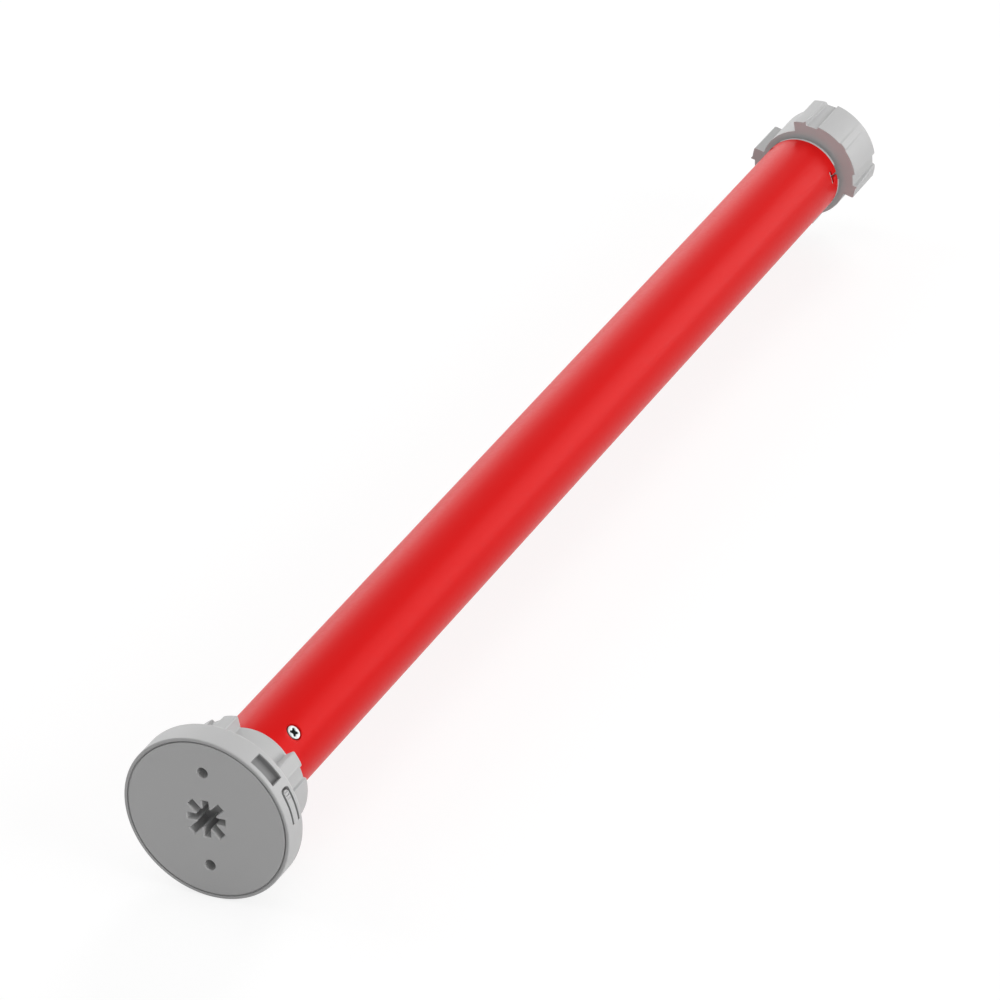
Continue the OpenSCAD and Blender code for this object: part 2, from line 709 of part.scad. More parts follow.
module tube_plug() color(light_grey) axle() difference() {
    union() {
        rotate_extrude() polygon([[plug_bore_r, journal_end - neck_len],
            [journal_bore_r - fit_gap, journal_end - neck_len],
            [journal_bore_r - fit_gap, journal_end], [tube_r, journal_end], [tube_r, tube_x],
            [in_tube_r, tube_x], [in_tube_r, plug_end], [plug_bore_r, plug_end]]);
        for (a = screw_angles) intersection() {
            outward(a) translate([-boss_w / 2, screw_x - boss_w / 2, boss_in])
                cube([boss_w, boss_w, plug_bore_r - boss_in + 0.5]);
            translate([0, 0, screw_x - boss_w]) cylinder(r = plug_bore_r + 0.3, h = 2 * boss_w);
        }
    }
    for (a = screw_angles) outward(a) translate([0, screw_x, boss_in - over])
        cylinder(d = screw_d + fit_gap, h = tube_r, $fn = 24);
    translate([-board_w / 2 - fit_gap, -board_drop - board_t - fit_gap, board_x - fit_gap])
        cube([board_w + 2 * fit_gap, board_t + 2 * fit_gap, board_seat + over]);
}

// A screw along z with its head's top at z = 0: the hole for it has a gap all round
module tube_screw(gap) {
    r = screw_head_d / 2;
    rotate_extrude($fn = 48) polygon([[0, gap > 0 ? head_sink + over : 0],
        [r + gap, gap > 0 ? head_sink + over : 0], [r + gap, 0], [screw_d / 2 + gap, -head_h],
        [screw_d / 2 + gap, -screw_len], [0, -screw_len]]);
}

module motor_tube() color(tube_red) axle(tube_x) difference() {
    pipe(tube_r, tube_in_r, tube_len);
    for (a = screw_angles) outward(a) translate([0, screw_inset, tube_r - head_sink])
        tube_screw(2 * fit_gap);
    for (a = slit_angles) outward(a) {
        translate([-slit_stem_w / 2, tube_len - slit_stem - over / 2, tube_in_r - over])
            cube([slit_stem_w, slit_stem + over, 2 * tube_wall + over]);
        translate([-slit_bar / 2, tube_len - slit_stem - slit_bar_w, tube_in_r - over])
            cube([slit_bar, slit_bar_w, 2 * tube_wall + over]);
    }
    translate([0, 0, tube_len - key_len - fit_gap])
        arc_pipe(tube_r + over, tube_in_r - over / 2, key_len + over,
            key_a - key_half - 0.3, key_a + key_half + 0.3);
}

module tube_screws() color(steel) axle()
    for (a = screw_angles) outward(a) translate([0, screw_x, tube_r - head_sink]) difference() {
        tube_screw(0);
        for (t = [45, 135]) rotate(t) translate([-screw_head_d * 0.3, -0.22, -cross_depth])
            cube([screw_head_d * 0.6, 0.44, cross_depth + over]);
    }

// Boards and battery

module head_ribbon() color(mid_grey) axle() outward(270) {
    low = plug_bore_r - 0.9;
    end = board_x + 8;
    top = min(journal_bore_r + 1.2, hole_pitch / 2 - hole_boss_r - 0.2);
    translate([-ribbon_w / 2, 0, 0]) rotate([90, 0, 90]) linear_extrude(ribbon_w)
        polygon([[board_face - 0.6, top], [board_face - 0.1, top],
            [board_face - 0.1, low + ribbon_t], [end, low + ribbon_t],
            [end, board_drop + board_t + 0.05], [end - 0.5, board_drop + board_t + 0.05],
            [end - 0.5, low], [board_face - 0.6, low]]);
}

module control_board() color(board_green) axle(board_x)
    translate([-board_w / 2, -board_drop - board_t, 0]) cube([board_w, board_t, board_len]);

module board_parts() color(dark_grey) axle(board_x) translate([0, -board_drop, 0]) {
    row = part_gap + 2 + module_size[1] + part_gap;
    low_row = row + chip_w + part_gap;
    translate([-module_size[0] / 2, 0, part_gap + 2]) cube([module_size[0], module_h, module_size[1]]);
    translate([-chip_w / 2, 0, row]) cube([chip_w, chip_h, chip_w]);
    translate([chip_w / 2 + 1, 0, row]) cube([0.4 * chip_w, 0.8 * chip_h, 0.6 * chip_w]);
    translate([-chip_w - 1, 0, row]) cube([0.4 * chip_w, 1.2 * chip_h, 0.8 * chip_w]);
    // Capacitor lying in its saddle
    translate([capacitor_r + 0.4, capacitor_r + 0.05, low_row])
        cylinder(r = capacitor_r, h = capacitor_len);
    translate([capacitor_r - 0.6, 0, low_row + 1]) cube([2, 0.2 * capacitor_r, capacitor_len - 2]);
    translate([-7, 0, low_row]) cube([7, driver_h, driver_len]);
}

module battery_tray() color(dark_grey) axle(tray_x) difference() {
    union() {
        pipe(tray_r, cell_r + 0.1, tray_len);
        cylinder(r = tray_r, h = tray_end);
        translate([0, 0, tray_len - tray_end]) cylinder(r = tray_r, h = tray_end);
    }
    translate([-tray_r, cell_r * 0.35, tray_end])
        cube([2 * tray_r, tray_r, tray_len - 2 * tray_end]);
    for (a = lead_angles) rotate(a) translate([lead_way, 0, -over])
        cylinder(r = lead_r + 0.15, h = tray_len + 2 * over, $fn = 24);
    translate([-board_w / 2 - fit_gap, -board_drop - board_t - fit_gap, -over])
        cube([board_w + 2 * fit_gap, board_t + 2 * fit_gap, tray_seat + 2 * fit_gap + over]);
}

module battery_cell(i) color(tube_red) axle(cells_x + i * cell_step)
    rotate_extrude() polygon([[0, 0], [cell_r - 0.4, 0], [cell_r, 0.4],
        [cell_r, cell_len - 3], [cell_r - 0.4, cell_len - 2.6], [cell_r - 0.4, cell_len - 2],
        [cell_r, cell_len - 1.6], [cell_r - 0.3, cell_len - 0.8], [3.2, cell_len - 0.8],
        [3.2, cell_len], [0, cell_len]]);

module battery_insulators() color(white_nylon)
    for (i = [1:cell_count - 1]) axle(cells_x + i * cell_step - insulator_t)
        pipe(cell_r - 0.5, 2.5, insulator_t);

module battery_straps() color(steel)
    for (x = [tray_x + tray_end, cells_end]) axle(x) cylinder(r = 0.6 * cell_r, h = contact_t);

module motor_leads() color(tube_red) for (a = lead_angles) axle(tray_x - 1.5) rotate(a)
    translate([lead_way, 0, 0]) cylinder(r = lead_r, h = cap_x - tray_x + 1.5, $fn = 24);

module spacer_sleeve() color(white_nylon) axle(tray_out) difference() {
    pipe(tray_r, can_r - 0.6, cap_x - tray_out);
    for (a = lead_angles) rotate(a) translate([lead_way, 0, -over])
        cylinder(r = lead_r + 0.15, h = cap_x - tray_out + 2 * over, $fn = 24);
}

// Motor

module encoder_board() color(board_green) axle(sensor_x) difference() {
    cylinder(r = lead_way - lead_r - 0.15, h = 1);
    for (s = [-1, 1]) translate([s * 7.4, 0, -over]) cylinder(r = 0.8, h = 1 + 2 * over, $fn = 24);
}

module encoder_magnet() color(dark_grey) axle(rotor_x)
    pipe(tail_magnet_r, shaft_r, tail_magnet_len);

module motor_can() color(steel) axle(can_x) difference() {
    union() {
        cylinder(r = can_r, h = can_len);
        cylinder(r = bush_r + 1.5, h = can_len + gear_wall - 0.3);
    }
    translate([0, 0, -over]) cylinder(r = can_r - can_wall, h = can_len - can_front + over);
    translate([0, 0, -over]) cylinder(r = bush_r, h = can_len + gear_wall + over);
    for (s = [-1, 1]) translate([s * motor_screw_r, 0, 0])
        cylinder(d = motor_screw_d + fit_gap, h = can_len + over, $fn = 24);
}

module motor_magnets() color(dark_grey) for (s = [0, 180]) axle(armature_x - 2)
    arc_pipe(can_r - can_wall - fit_gap, magnet_r, armature_len + 4, s + 20, s + 160);

module brush_cap() color(dark_grey) axle(cap_x) difference() {
    union() {
        rotate_extrude() polygon([[bush_r, 0], [can_r, 0], [can_r, cap_len],
            [can_r - 1, cap_len], [can_r - 1, 1.5], [bush_r, 1.5]]);
        // Brush holders
        for (s = [-1, 1]) translate([s > 0 ? 4.4 : -7.4, -1.9, 0]) cube([3, 3.8, cap_len]);
        // Posts that carry the hall sensor board
        for (s = [-1, 1]) translate([s * 7.4, 0, -sensor_gap]) {
            cylinder(r = 0.75, h = sensor_gap + 0.2, $fn = 24);
            translate([0, 0, 1.05]) cylinder(r = 1.3, h = sensor_gap - 0.9, $fn = 24);
        }
    }
    for (s = [-1, 1]) translate([s > 0 ? 3 : -9, -1, 1.5]) cube([6, 2, cap_len]);
}

module brushes() color(dark_grey) axle(cap_x + 1.8) for (s = [0, 180]) rotate(s)
    translate([commutator_r + 0.06, -0.95, 0]) cube([3.4, 1.9, 1.9]);

module motor_bushes() color(brass) {
    axle(cap_x) pipe(bush_r, shaft_r + run_gap, 1.5);
    axle(gearbox_x - can_front) pipe(bush_r, shaft_r + run_gap, can_front + gear_wall - 0.5);
}

module rotor_shaft() color(steel) axle(rotor_x)
    cylinder(r = shaft_r, h = gearbox_x + gear_wall + stage_gap + planet_w - rotor_x);

module armature() color(steel) axle(armature_x) difference() {
    cylinder(r = armature_r, h = armature_len);
    translate([0, 0, -over]) cylinder(r = shaft_r, h = armature_len + 2 * over);
    for (i = [0:pole_count - 1]) rotate((i + 0.5) * 360 / pole_count)
        translate([0, 0, -over]) linear_extrude(armature_len + 2 * over)
            polygon([[armature_r + over, -0.6], [armature_r - 0.9, -0.6], [armature_r - 1.6, -2.6],
                [2.6, -0.5], [2.6, 0.5], [armature_r - 1.6, 2.6], [armature_r - 0.9, 0.6],
                [armature_r + over, 0.6]]);
}

module windings() color(copper) axle() {
    for (x = [armature_x - winding_head, armature_x + armature_len])
        translate([0, 0, x]) pipe(armature_r - 1.8, shaft_r + 0.3, winding_head);
    for (i = [0:pole_count - 1]) rotate((i + 0.5) * 360 / pole_count)
        translate([0, 0, armature_x - 0.1]) linear_extrude(armature_len + 0.2)
            polygon([[armature_r - 2, -2.2], [2.9, -0.4], [2.9, 0.4], [armature_r - 2, 2.2]]);
}

module commutator() color(copper) axle(cap_x + 1.6)
    pipe(commutator_r, shaft_r, commutator_len);

module motor_damper() color(black_rubber) axle(can_x + (can_len - damper_len) / 2)
    pipe(in_tube_r, can_r, damper_len);

// Gears

function involute(a) = tan(a) * 180 / PI - a;
// Half a tooth's angle at radius r, for a tooth that is thin narrower than a half pitch
function half_tooth(z, r, thin) =
    let(rp = gear_m * z / 2, rb = rp * cos(gear_pa))
        (PI * gear_m / 2 - thin) / (2 * rp) * 180 / PI + involute(gear_pa)
            - involute(acos(min(1, rb / r)));
// Outline of a gear of z teeth with one tooth on +x: it reaches out and in from the pitch
function gear_outline(z, out, in, thin) =
    let(rp = gear_m * z / 2, rb = rp * cos(gear_pa), root = rp - in, tip = rp + out,
        low = max(rb, root), n = 3,
        flank = concat(root < rb ? [root] : [], [for (k = [0:n]) low + (tip - low) * k / n]))
    [for (i = [0:z - 1]) for (s = [-1, 1]) for (k = [0:len(flank) - 1])
        let(r = flank[s < 0 ? k : len(flank) - 1 - k])
            polar(r, i * 360 / z + s * half_tooth(z, max(r, low), thin))];

module spur_gear(z, w) linear_extrude(w)
    polygon(gear_outline(z, addendum, dedendum, tooth_thin));

module sun_gear() color(brass) axle(gearbox_x + gear_wall + stage_gap) difference() {
    spur_gear(sun_teeth, planet_w);
    translate([0, 0, -over]) cylinder(r = shaft_r, h = planet_w + 2 * over);
}

// Planet i of stage k, both counted from 0
module planet(k, i) color(white_nylon) axle(gearbox_x + gear_wall + stage_gap + k * stage_len)
    rotate(planet_angles[i]) translate([orbit_r, 0, 0]) difference() {
        spur_gear(planet_teeth, planet_w);
        translate([0, 0, -over]) cylinder(r = pin_r + run_gap, h = planet_w + 2 * over);
    }

// Carrier of stage k, with its pins
module carrier(k) axle(gearbox_x + gear_wall + stage_gap + k * stage_len + planet_w + stage_gap) {
    cylinder(r = carrier_r, h = carrier_t);
    for (a = planet_angles) rotate(a) translate([orbit_r, 0, -planet_w - stage_gap / 2])
        cylinder(r = pin_r, h = planet_w + stage_gap);
}

module carrier_with_sun(k) {
    carrier(k);
    axle(gearbox_x + gear_wall + stage_gap + k * stage_len + planet_w + stage_gap + carrier_t)
        spur_gear(sun_teeth, planet_w + stage_gap);
}

module output_carrier() color(steel) {
    carrier(stages - 1);
    axle(end_x - stage_gap) difference() {
        cylinder(r = output_r, h = shaft_out - end_x + stage_gap);
        // Flats that drive the wheel, with a groove for the clip
        translate([0, 0, wheel_x - end_x + stage_gap]) rotate(wheel_turn) for (s = [0, 180])
            rotate(s) translate([-output_r - over, output_flats / 2, 0])
                cube([2 * output_r + 2 * over, output_r, shaft_out]);
        translate([0, 0, clip_x - end_x + stage_gap - fit_gap])
            pipe(output_r + over, clip_bore_r - fit_gap, clip_t + 2 * fit_gap);
    }
}

module gear_housing() color(white_nylon) axle(gearbox_x) difference() {
    cylinder(r = tray_r, h = gearbox_len);
    translate([0, 0, gear_wall]) linear_extrude(gearbox_len)
        polygon(gear_outline(ring_teeth, dedendum, addendum, -tooth_thin));
    translate([0, 0, -over]) cylinder(r = bush_r + 1.5 + fit_gap, h = gear_wall + 2 * over);
    for (s = [-1, 1]) translate([s * motor_screw_r, 0, gear_wall]) motor_screw(fit_gap);
}

// A countersunk screw along z with its head's top at z = 0
module motor_screw(gap) {
    r = motor_screw_d / 2;
    rotate_extrude($fn = 32) polygon([[0, gap > 0 ? 0.5 : -0.1], [1.9 * r + gap, gap > 0 ? 0.5 : -0.1],
        [1.9 * r + gap, -0.1], [r + gap, -1 * r], [r + gap, -gear_wall - can_front],
        [0, -gear_wall - can_front]]);
}

module motor_screws() color(steel) axle(gearbox_x + gear_wall)
    for (s = [-1, 1]) translate([s * motor_screw_r, 0, 0]) motor_screw(0);

// Drive end

module end_flange() color(light_grey) axle() difference() {
    union() {
        translate([0, 0, end_x]) cylinder(r = in_tube_r, h = end_plug_len);
        translate([0, 0, tube_end]) cylinder(r = tube_r, h = flange_t);
        translate([0, 0, tube_end - key_len]) arc_pipe(tube_r + key_proud, in_tube_r - 0.5,
            key_len + flange_t, key_a - key_half, key_a + key_half);
    }
    translate([0, 0, end_x - over]) cylinder(r = output_bush_r, h = end_plug_len + flange_t + 2 * over);
    for (a = slit_angles) {
        translate([0, 0, tube_end - fit_gap]) arc_pipe(tube_r + over, in_tube_r - notch_depth,
            flange_t + over, a - notch_half, a + notch_half);
        translate([0, 0, tube_end - slit_stem - slit_bar_w - 0.3])
            arc_pipe(tube_r, in_tube_r - lip_drop, slit_stem + slit_bar_w - 0.7, a - 9.5, a + 9.5);
    }
}

module output_bush() color(brass) axle() rotate_extrude() polygon([
    [output_r + run_gap, end_x + 0.3], [output_bush_r, end_x + 0.3], [output_bush_r, flange_out],
    [output_bush_r + 1.2, flange_out], [output_bush_r + 1.2, flange_out + bush_collar_t],
    [output_r + run_gap, flange_out + bush_collar_t]]);

head_housing();
face_plate();
button_tongue();
port_plug();
charging_socket();
head_board();
tact_switch();
switch_plunger();
antenna_wire();
front_washer();
rear_washer();
crown();
tube_plug();
motor_tube();
tube_screws();
head_ribbon();
control_board();
board_parts();
battery_tray();
battery_cell(0);  // battery_cell_1
battery_cell(1);  // battery_cell_2
battery_cell(2);  // battery_cell_3
battery_insulators();
battery_straps();
motor_leads();
spacer_sleeve();
encoder_board();
encoder_magnet();
motor_can();
motor_magnets();
brush_cap();
brushes();
motor_bushes();
rotor_shaft();
armature();
windings();
commutator();
sun_gear();
motor_damper();
gear_housing();
motor_screws();
planet(0, 0);  // planet_1a
planet(0, 1);  // planet_1b
planet(0, 2);  // planet_1c
planet(1, 0);  // planet_2a
planet(1, 1);  // planet_2b
planet(1, 2);  // planet_2c
planet(2, 0);  // planet_3a
planet(2, 1);  // planet_3b
planet(2, 2);  // planet_3c
color(steel) carrier_with_sun(0);  // carrier_1
color(steel) carrier_with_sun(1);  // carrier_2
output_carrier();
output_bush();
end_flange();
drive_wheel();
wheel_clip();
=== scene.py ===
"""Looks of a tubular roller blind motor: head, crown, red tube and drive wheel on one axle."""

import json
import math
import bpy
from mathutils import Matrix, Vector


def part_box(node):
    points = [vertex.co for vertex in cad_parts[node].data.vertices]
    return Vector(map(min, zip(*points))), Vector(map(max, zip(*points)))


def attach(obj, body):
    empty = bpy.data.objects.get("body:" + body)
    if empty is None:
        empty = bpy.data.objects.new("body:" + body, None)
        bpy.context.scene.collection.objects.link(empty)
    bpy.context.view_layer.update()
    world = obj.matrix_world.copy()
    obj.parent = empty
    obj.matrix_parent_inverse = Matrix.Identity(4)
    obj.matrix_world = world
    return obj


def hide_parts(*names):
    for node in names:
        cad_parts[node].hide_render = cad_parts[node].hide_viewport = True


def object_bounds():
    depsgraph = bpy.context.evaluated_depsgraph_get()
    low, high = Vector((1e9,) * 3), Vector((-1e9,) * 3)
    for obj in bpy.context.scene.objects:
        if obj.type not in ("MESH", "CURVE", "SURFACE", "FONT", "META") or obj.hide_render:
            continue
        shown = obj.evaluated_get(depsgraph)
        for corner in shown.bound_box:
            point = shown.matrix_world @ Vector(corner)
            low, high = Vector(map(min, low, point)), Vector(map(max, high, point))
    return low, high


bl_info = {
    "name": "Roller Blind Motor",
    "version": (1, 0, 0),
    "blender": (4, 5, 0),
    "location": "View3D > Sidebar > Blind Motor",
    "description": "Models a tubular roller blind motor's seen pieces, finishes and stage",
    "category": "Object",
}

import bpy
from bpy.props import FloatProperty, FloatVectorProperty, IntProperty, PointerProperty
from mathutils import Matrix, Vector

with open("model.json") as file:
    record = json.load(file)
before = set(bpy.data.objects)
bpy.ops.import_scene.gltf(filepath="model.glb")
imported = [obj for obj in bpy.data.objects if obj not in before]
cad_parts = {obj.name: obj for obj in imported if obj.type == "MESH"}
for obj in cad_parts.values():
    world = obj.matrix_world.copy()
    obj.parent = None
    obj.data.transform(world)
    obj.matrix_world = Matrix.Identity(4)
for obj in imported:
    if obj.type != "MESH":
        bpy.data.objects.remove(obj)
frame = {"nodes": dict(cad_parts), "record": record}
CAD_LOW, CAD_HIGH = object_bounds()
MM = 0.001
TURN = 2 * math.pi
UPRIGHT = Matrix.Rotation(-math.pi / 2, 4, "Y")

OVER = MM  # How far a cutter or an added form runs past what it meets
LAP = 0.2 * MM  # How far flat-sided forms that are joined reach into each other
DEEP_LAP = 0.5 * MM  # The same where one of the sides is curved
SLIVER = 0.01 * MM  # What keeps two faces from lying in one plane
FIT = 0.05 * MM  # Gap round a piece that sits in another
RUN = 0.08 * MM  # Gap round a piece that turns on another
WELD = 2e-7  # Points nearer than this are one point

# Places along the axle, and the radii that the frame gives
HEAD_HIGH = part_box("head_housing")[1]
PLATE_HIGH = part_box("face_plate")[1]
CROWN_LOW, CROWN_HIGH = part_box("crown")
TUBE_LOW, TUBE_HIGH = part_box("motor_tube")
WHEEL_LOW, WHEEL_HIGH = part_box("drive_wheel")


def length(name, default, description):
    return FloatProperty(name=name, default=default, description=description,
                         unit="LENGTH", subtype="DISTANCE", precision=5)


def mm(name, default, description):
    """A length whose default is given in millimetres."""
    return length(name, default * MM, description)


def angle(name, default, description):
    return FloatProperty(name=name, default=math.radians(default), description=description,
                         unit="ROTATION", subtype="ANGLE")


def power(name, default, description):
    return FloatProperty(name=name, default=default, description=description, min=0, max=200,
                         unit="POWER")


def share(name, default, description):
    return FloatProperty(name=name, default=default, description=description, min=0, max=5)


def colour(name, default, description):
    return FloatVectorProperty(name=name, default=default, description=description,
                               size=3, min=0, max=1, subtype="COLOR")


class BM_HeadSizes(bpy.types.PropertyGroup):
    """Sizes of the head's rim, face plate, window and button"""
    rim_r: length("Rim radius", HEAD_HIGH.z, "Outside radius of the rim")
    rim_len: mm("Rim length", 8.3, "From the face to the rim's back")
    rim_in_r: mm("Rim inner radius", 21.3, "Radius inside the rim")
    front_round: mm("Front rounding", 0.75, "Rounding round the front of the rim")
    back_round: mm("Back rounding", 1.0, "Rounding round the back of the rim")
    lip_w: mm("Lip width", 0.9, "Width outside the groove")
    groove_depth: mm("Groove depth", 0.55, "Depth of the groove round the plate")
    journal_r: mm("Journal radius", 11.5, "Radius that the crown turns on")
    journal_bore_r: mm("Journal bore", 9.95, "Radius inside the journal")
    plate_r: length("Plate radius", PLATE_HIGH.z, "Radius of the face plate")
    plate_t: mm("Plate thickness", 1.1, "Thickness of the face plate")
    hole_pitch: mm("Hole pitch", 28.35, "Distance between the screw holes")
    hole_r: mm("Hole radius", 1.55, "Radius of the screw holes")
    hole_depth: mm("Hole depth", 4.8, "Depth of the screw holes")
    valley_round: mm("Valley rounding", 0.3, "Rounding between the star's arms")
    long_reach: mm("Long reach", 6.35, "Reach of the star's long arms")
    long_w: mm("Long arm width", 2.1, "Width of the star's long arms")
    short_reach: mm("Short reach", 5.5, "Reach of the star's short arms")
    short_w: mm("Short arm width", 1.85, "Width of the star's short arms")
    socket_depth: mm("Socket depth", 8, "Depth of the star socket")
    socket_bevel: mm("Socket bevel", 0.33, "Bevel round the star's mouth")
    window_a: angle("Window angle", 135, "Direction of the window")
    window_len: mm("Window length", 8.4, "Length round the rim")
    window_w: mm("Window width", 4.6, "Width along the axle")
    window_x: mm("Window place", 3.8, "Distance of its middle from the face")
    tray_depth: mm("Tray depth", 2.2, "Depth of the plug's tray")
    tray_wall: mm("Tray wall", 0.18, "Wall of the plug's tray")
    tray_round: mm("Tray rounding", 0.9, "Rounding along the tray's floor")
    tray_lip: mm("Tray lip", 2.05, "Height of the tray's wall")
    button_a: angle("Button angle", 163.85, "Direction of its middle")
    button_len: mm("Button length", 9.5, "Length of the tongue")
    button_w: mm("Button width", 2.15, "Width of the tongue")
    button_x: mm("Button place", 4.69, "Distance of its middle from the face")
    button_slot: mm("Button slot", 0.75, "Width of the slot round it")
    tip_round: mm("Tip rounding", 0.8, "Rounding of its free corners")
    tongue_t: mm("Tongue thickness", 1.3, "Thickness of the tongue")
    grip_step: mm("Grip step", 0.9, "Distance between grooves")
    grip_count: IntProperty(name="Grip grooves", default=3, min=2, max=4,
                            description="Number of grooves")


class BM_TubeSizes(bpy.types.PropertyGroup):
    """Sizes of the tube, its screws, its slits and its end flange"""
    tube_r: length("Tube radius", TUBE_HIGH.z, "Outside radius of the tube")
    tube_wall: mm("Tube wall", 1.0, "Wall of the tube")
    flange_t: mm("Flange", 1.15, "Thickness of the tube's flanges")
    screw_inset: mm("Screw inset", 7.8, "Distance from the tube's end")
    screw_a: angle("Screw angle", 135, "Direction of the first screw")
    screw_head_r: mm("Screw head", 2.17, "Radius of the screw heads")
    screw_drop: mm("Screw drop", 0.1, "Depth below the tube's top")
    slit_a: angle("Slit angle", 165, "Direction of the first slit")
    slit_stem: mm("Slit stem", 2.8, "Length of each slit's stem")
    slit_stem_w: mm("Slit stem width", 0.9, "Width of each slit's stem")
    slit_bar: mm("Slit bar", 3.8, "Length of each slit's cross bar")
    slit_bar_w: mm("Slit bar width", 1.25, "Width of each slit's cross bar")
    pad_drop: mm("Pad drop", 0.18, "Depth of the pads in the bars")
    key_a: angle("Key angle", 225, "Direction of the end flange's key")
    key_half: angle("Key half width", 8, "Half the key's angle")
    key_len: mm("Key length", 4.7, "Length of the key along the tube")
    key_proud: mm("Key height", 0.12, "Height above the tube")
    notch_half: angle("Notch half width", 11, "Half the notches' angle")


class BM_RollerSizes(bpy.types.PropertyGroup):
    """Sizes of the ribbed outline that the crown and the drive wheel share"""
    sector_r: mm("Sector radius", 17.46, "Radius of the broad sectors")
    bump_h: mm("Bump", 0.38, "Height of the sectors' bump")
    bump_a: angle("Bump half width", 3.5, "Half the bump's angle")
    arc_a: angle("Arc half width", 32.5, "Half the arc's angle")
    shelf_drop: mm("Shelf drop", 0.9, "Depth of the flats")
    rib_a: angle("Rib start", 45.8, "Where the outer rib starts")
    sector_a: angle("Sector half width", 60.1, "Half the angle of a broad sector")
    tooth_h: mm("Tooth", 0.45, "Height of the rib's tooth")
    crown_low_r: mm("Crown low radius", 13.96, "Radius between the sectors")
    wheel_low_r: mm("Wheel low radius", 14.23, "Radius between the sectors")
    crown_turn: angle("Crown turn", 24, "Turn of the crown as it lies")
    wheel_turn: angle("Wheel turn", 140, "Turn of the drive wheel as it lies")
    pocket_depth: mm("Pocket depth", 11, "Depth of the pockets")
    pocket_wall: mm("Pocket wall", 1.5, "Wall outside the pockets")
    hub_r: mm("Hub radius", 6, "Radius of the drive wheel's hub")
    spoke_t: mm("Spoke", 1.6, "Thickness of the spokes")
    far_edge: mm("Far edge rounding", 0.35, "Rounding of the far ends")
    edge: mm("Edge rounding", 0.12, "Rounding of the near ends")


class BM_Finishes(bpy.types.PropertyGroup):
    """Colours of the pieces that show"""
    shell: colour("Grey plastic", (0.52, 0.52, 0.52), "Plastic of head, crown and wheel")
    # The shell's grey plastic, painted lighter here to set how bright the face plate renders as
    # it is lit
    face: colour("Face plate", (0.585, 0.585, 0.585), "Grey plastic of the face plate")
    plug: colour("Window plug", (0.31, 0.31, 0.312), "Dark grey rubber in the window")
    enamel: colour("Red enamel", (0.70, 0.006, 0.006), "Enamel of the tube")
    screw: colour("Screw steel", (0.50, 0.53, 0.53), "Plated steel of the screws")


class BM_StageSettings(bpy.types.PropertyGroup):
    """The camera, the lamps and the light of the room"""
    lens: FloatProperty(name="Lens", default=209.08, min=50, max=400,
                        description="Focal length of the camera", unit="CAMERA")
    overhead: power("Overhead lamp", 2, "Power of the lamp above")
    right: power("Right lamp", 13.2, "Power of the lamp at the right")
    left: power("Left lamp", 5, "Power of the lamp at the left")
    behind: power("Back lamp", 17.5, "Power of the lamp behind the wheel")
    room: share("Room light", 0.38, "Light on the object from all round")
    left_glow: share("Left glow", 1.8, "Bright backdrop at the left")
    right_glow: share("Right glow", 2.9, "Bright backdrop low at the right")


# Ways of working

def mode(kind):
    bpy.ops.object.mode_set(mode=kind)


def only(obj):
    """Selects obj and nothing else, and makes it active."""
    if bpy.context.object and bpy.context.object.mode != "OBJECT":
        mode("OBJECT")
    bpy.ops.object.select_all(action="DESELECT")
    obj.select_set(True)
    bpy.context.view_layer.objects.active = obj


def in_edit(obj, *steps):
    """Runs edit-mode steps on all of obj."""
    only(obj)
    mode("EDIT")
    pick_all()
    for step in steps:
        step()
    mode("OBJECT")


def pick_all():
    bpy.ops.mesh.select_all(action="SELECT")


def face_out():
    pick_all()
    bpy.ops.mesh.normals_make_consistent(inside=False)


def drawn(name, points):
    """A closed loop, drawn by extruding a vertex from point to point."""
    bpy.ops.object.select_all(action="DESELECT")
    bpy.ops.mesh.primitive_plane_add(size=MM)
    obj = bpy.context.object
    obj.name = name
    mode("EDIT")
    pick_all()
    bpy.ops.mesh.merge(type="CENTER")
    bpy.ops.transform.translate(value=points[0])
    for start, end in zip(points, points[1:]):
        bpy.ops.mesh.extrude_vertices_move(TRANSFORM_OT_translate={"value": end - start})
    mode("OBJECT")
    obj.data.vertices[0].select = True
    mode("EDIT")
    bpy.ops.mesh.edge_face_add()
    mode("OBJECT")
    return obj


def turned(name, corners, steps=256, n=5):
    """A closed profile of (x, r) corners, spun once round the axle. A third value rounds its
    corner, in n steps."""
    outline = fillet([(Vector((x, r, 0)), soft[0] if soft else 0) for x, r, *soft in corners], n)
    obj = drawn(name, [Vector((p.x, p.y, 0)) for p in outline])
    in_edit(
        obj,
        lambda: bpy.ops.mesh.spin(steps=steps, angle=TURN, center=(0, 0, 0), axis=(1, 0, 0)),
        pick_all,
        lambda: bpy.ops.mesh.remove_doubles(threshold=WELD),
        bpy.ops.mesh.delete_loose,
        face_out,
    )
    return obj


def pipe(name, ends, radii, steps):
    """A ring between two radii, or a rod where the first is 0, round the axle."""
    (x0, x1), (r0, r1) = ends, radii
    return turned(name, [(x0, r0), (x0, r1), (x1, r1), (x1, r0)], steps)


def prism(name, points, way):
    """A closed prism on a loop of points, extruded by the vector way."""
    obj = drawn(name, points)
    in_edit(
        obj,
        bpy.ops.mesh.edge_face_add,
        lambda: bpy.ops.mesh.extrude_region_move(
            TRANSFORM_OT_translate={"value": way, "orient_type": "GLOBAL"}),
        face_out,
    )
    return obj


def around(x, r, a):
    """The point at x along the axle, r from it and a round it."""
    return Vector((x, r * math.cos(a), r * math.sin(a)))


def round_from(a, count):
    """Evenly spaced angles round the axle, from a on."""
    return [a + k * TURN / count for k in range(count)]


def outward(a):
    """Axes at a on the rim: x goes round the axle, y along it and z outwards."""
    round_it = Vector((0, -math.sin(a), math.cos(a)))
    out = Vector((0, math.cos(a), math.sin(a)))
    return Matrix((round_it, Vector((1, 0, 0)), out)).transposed().to_4x4()


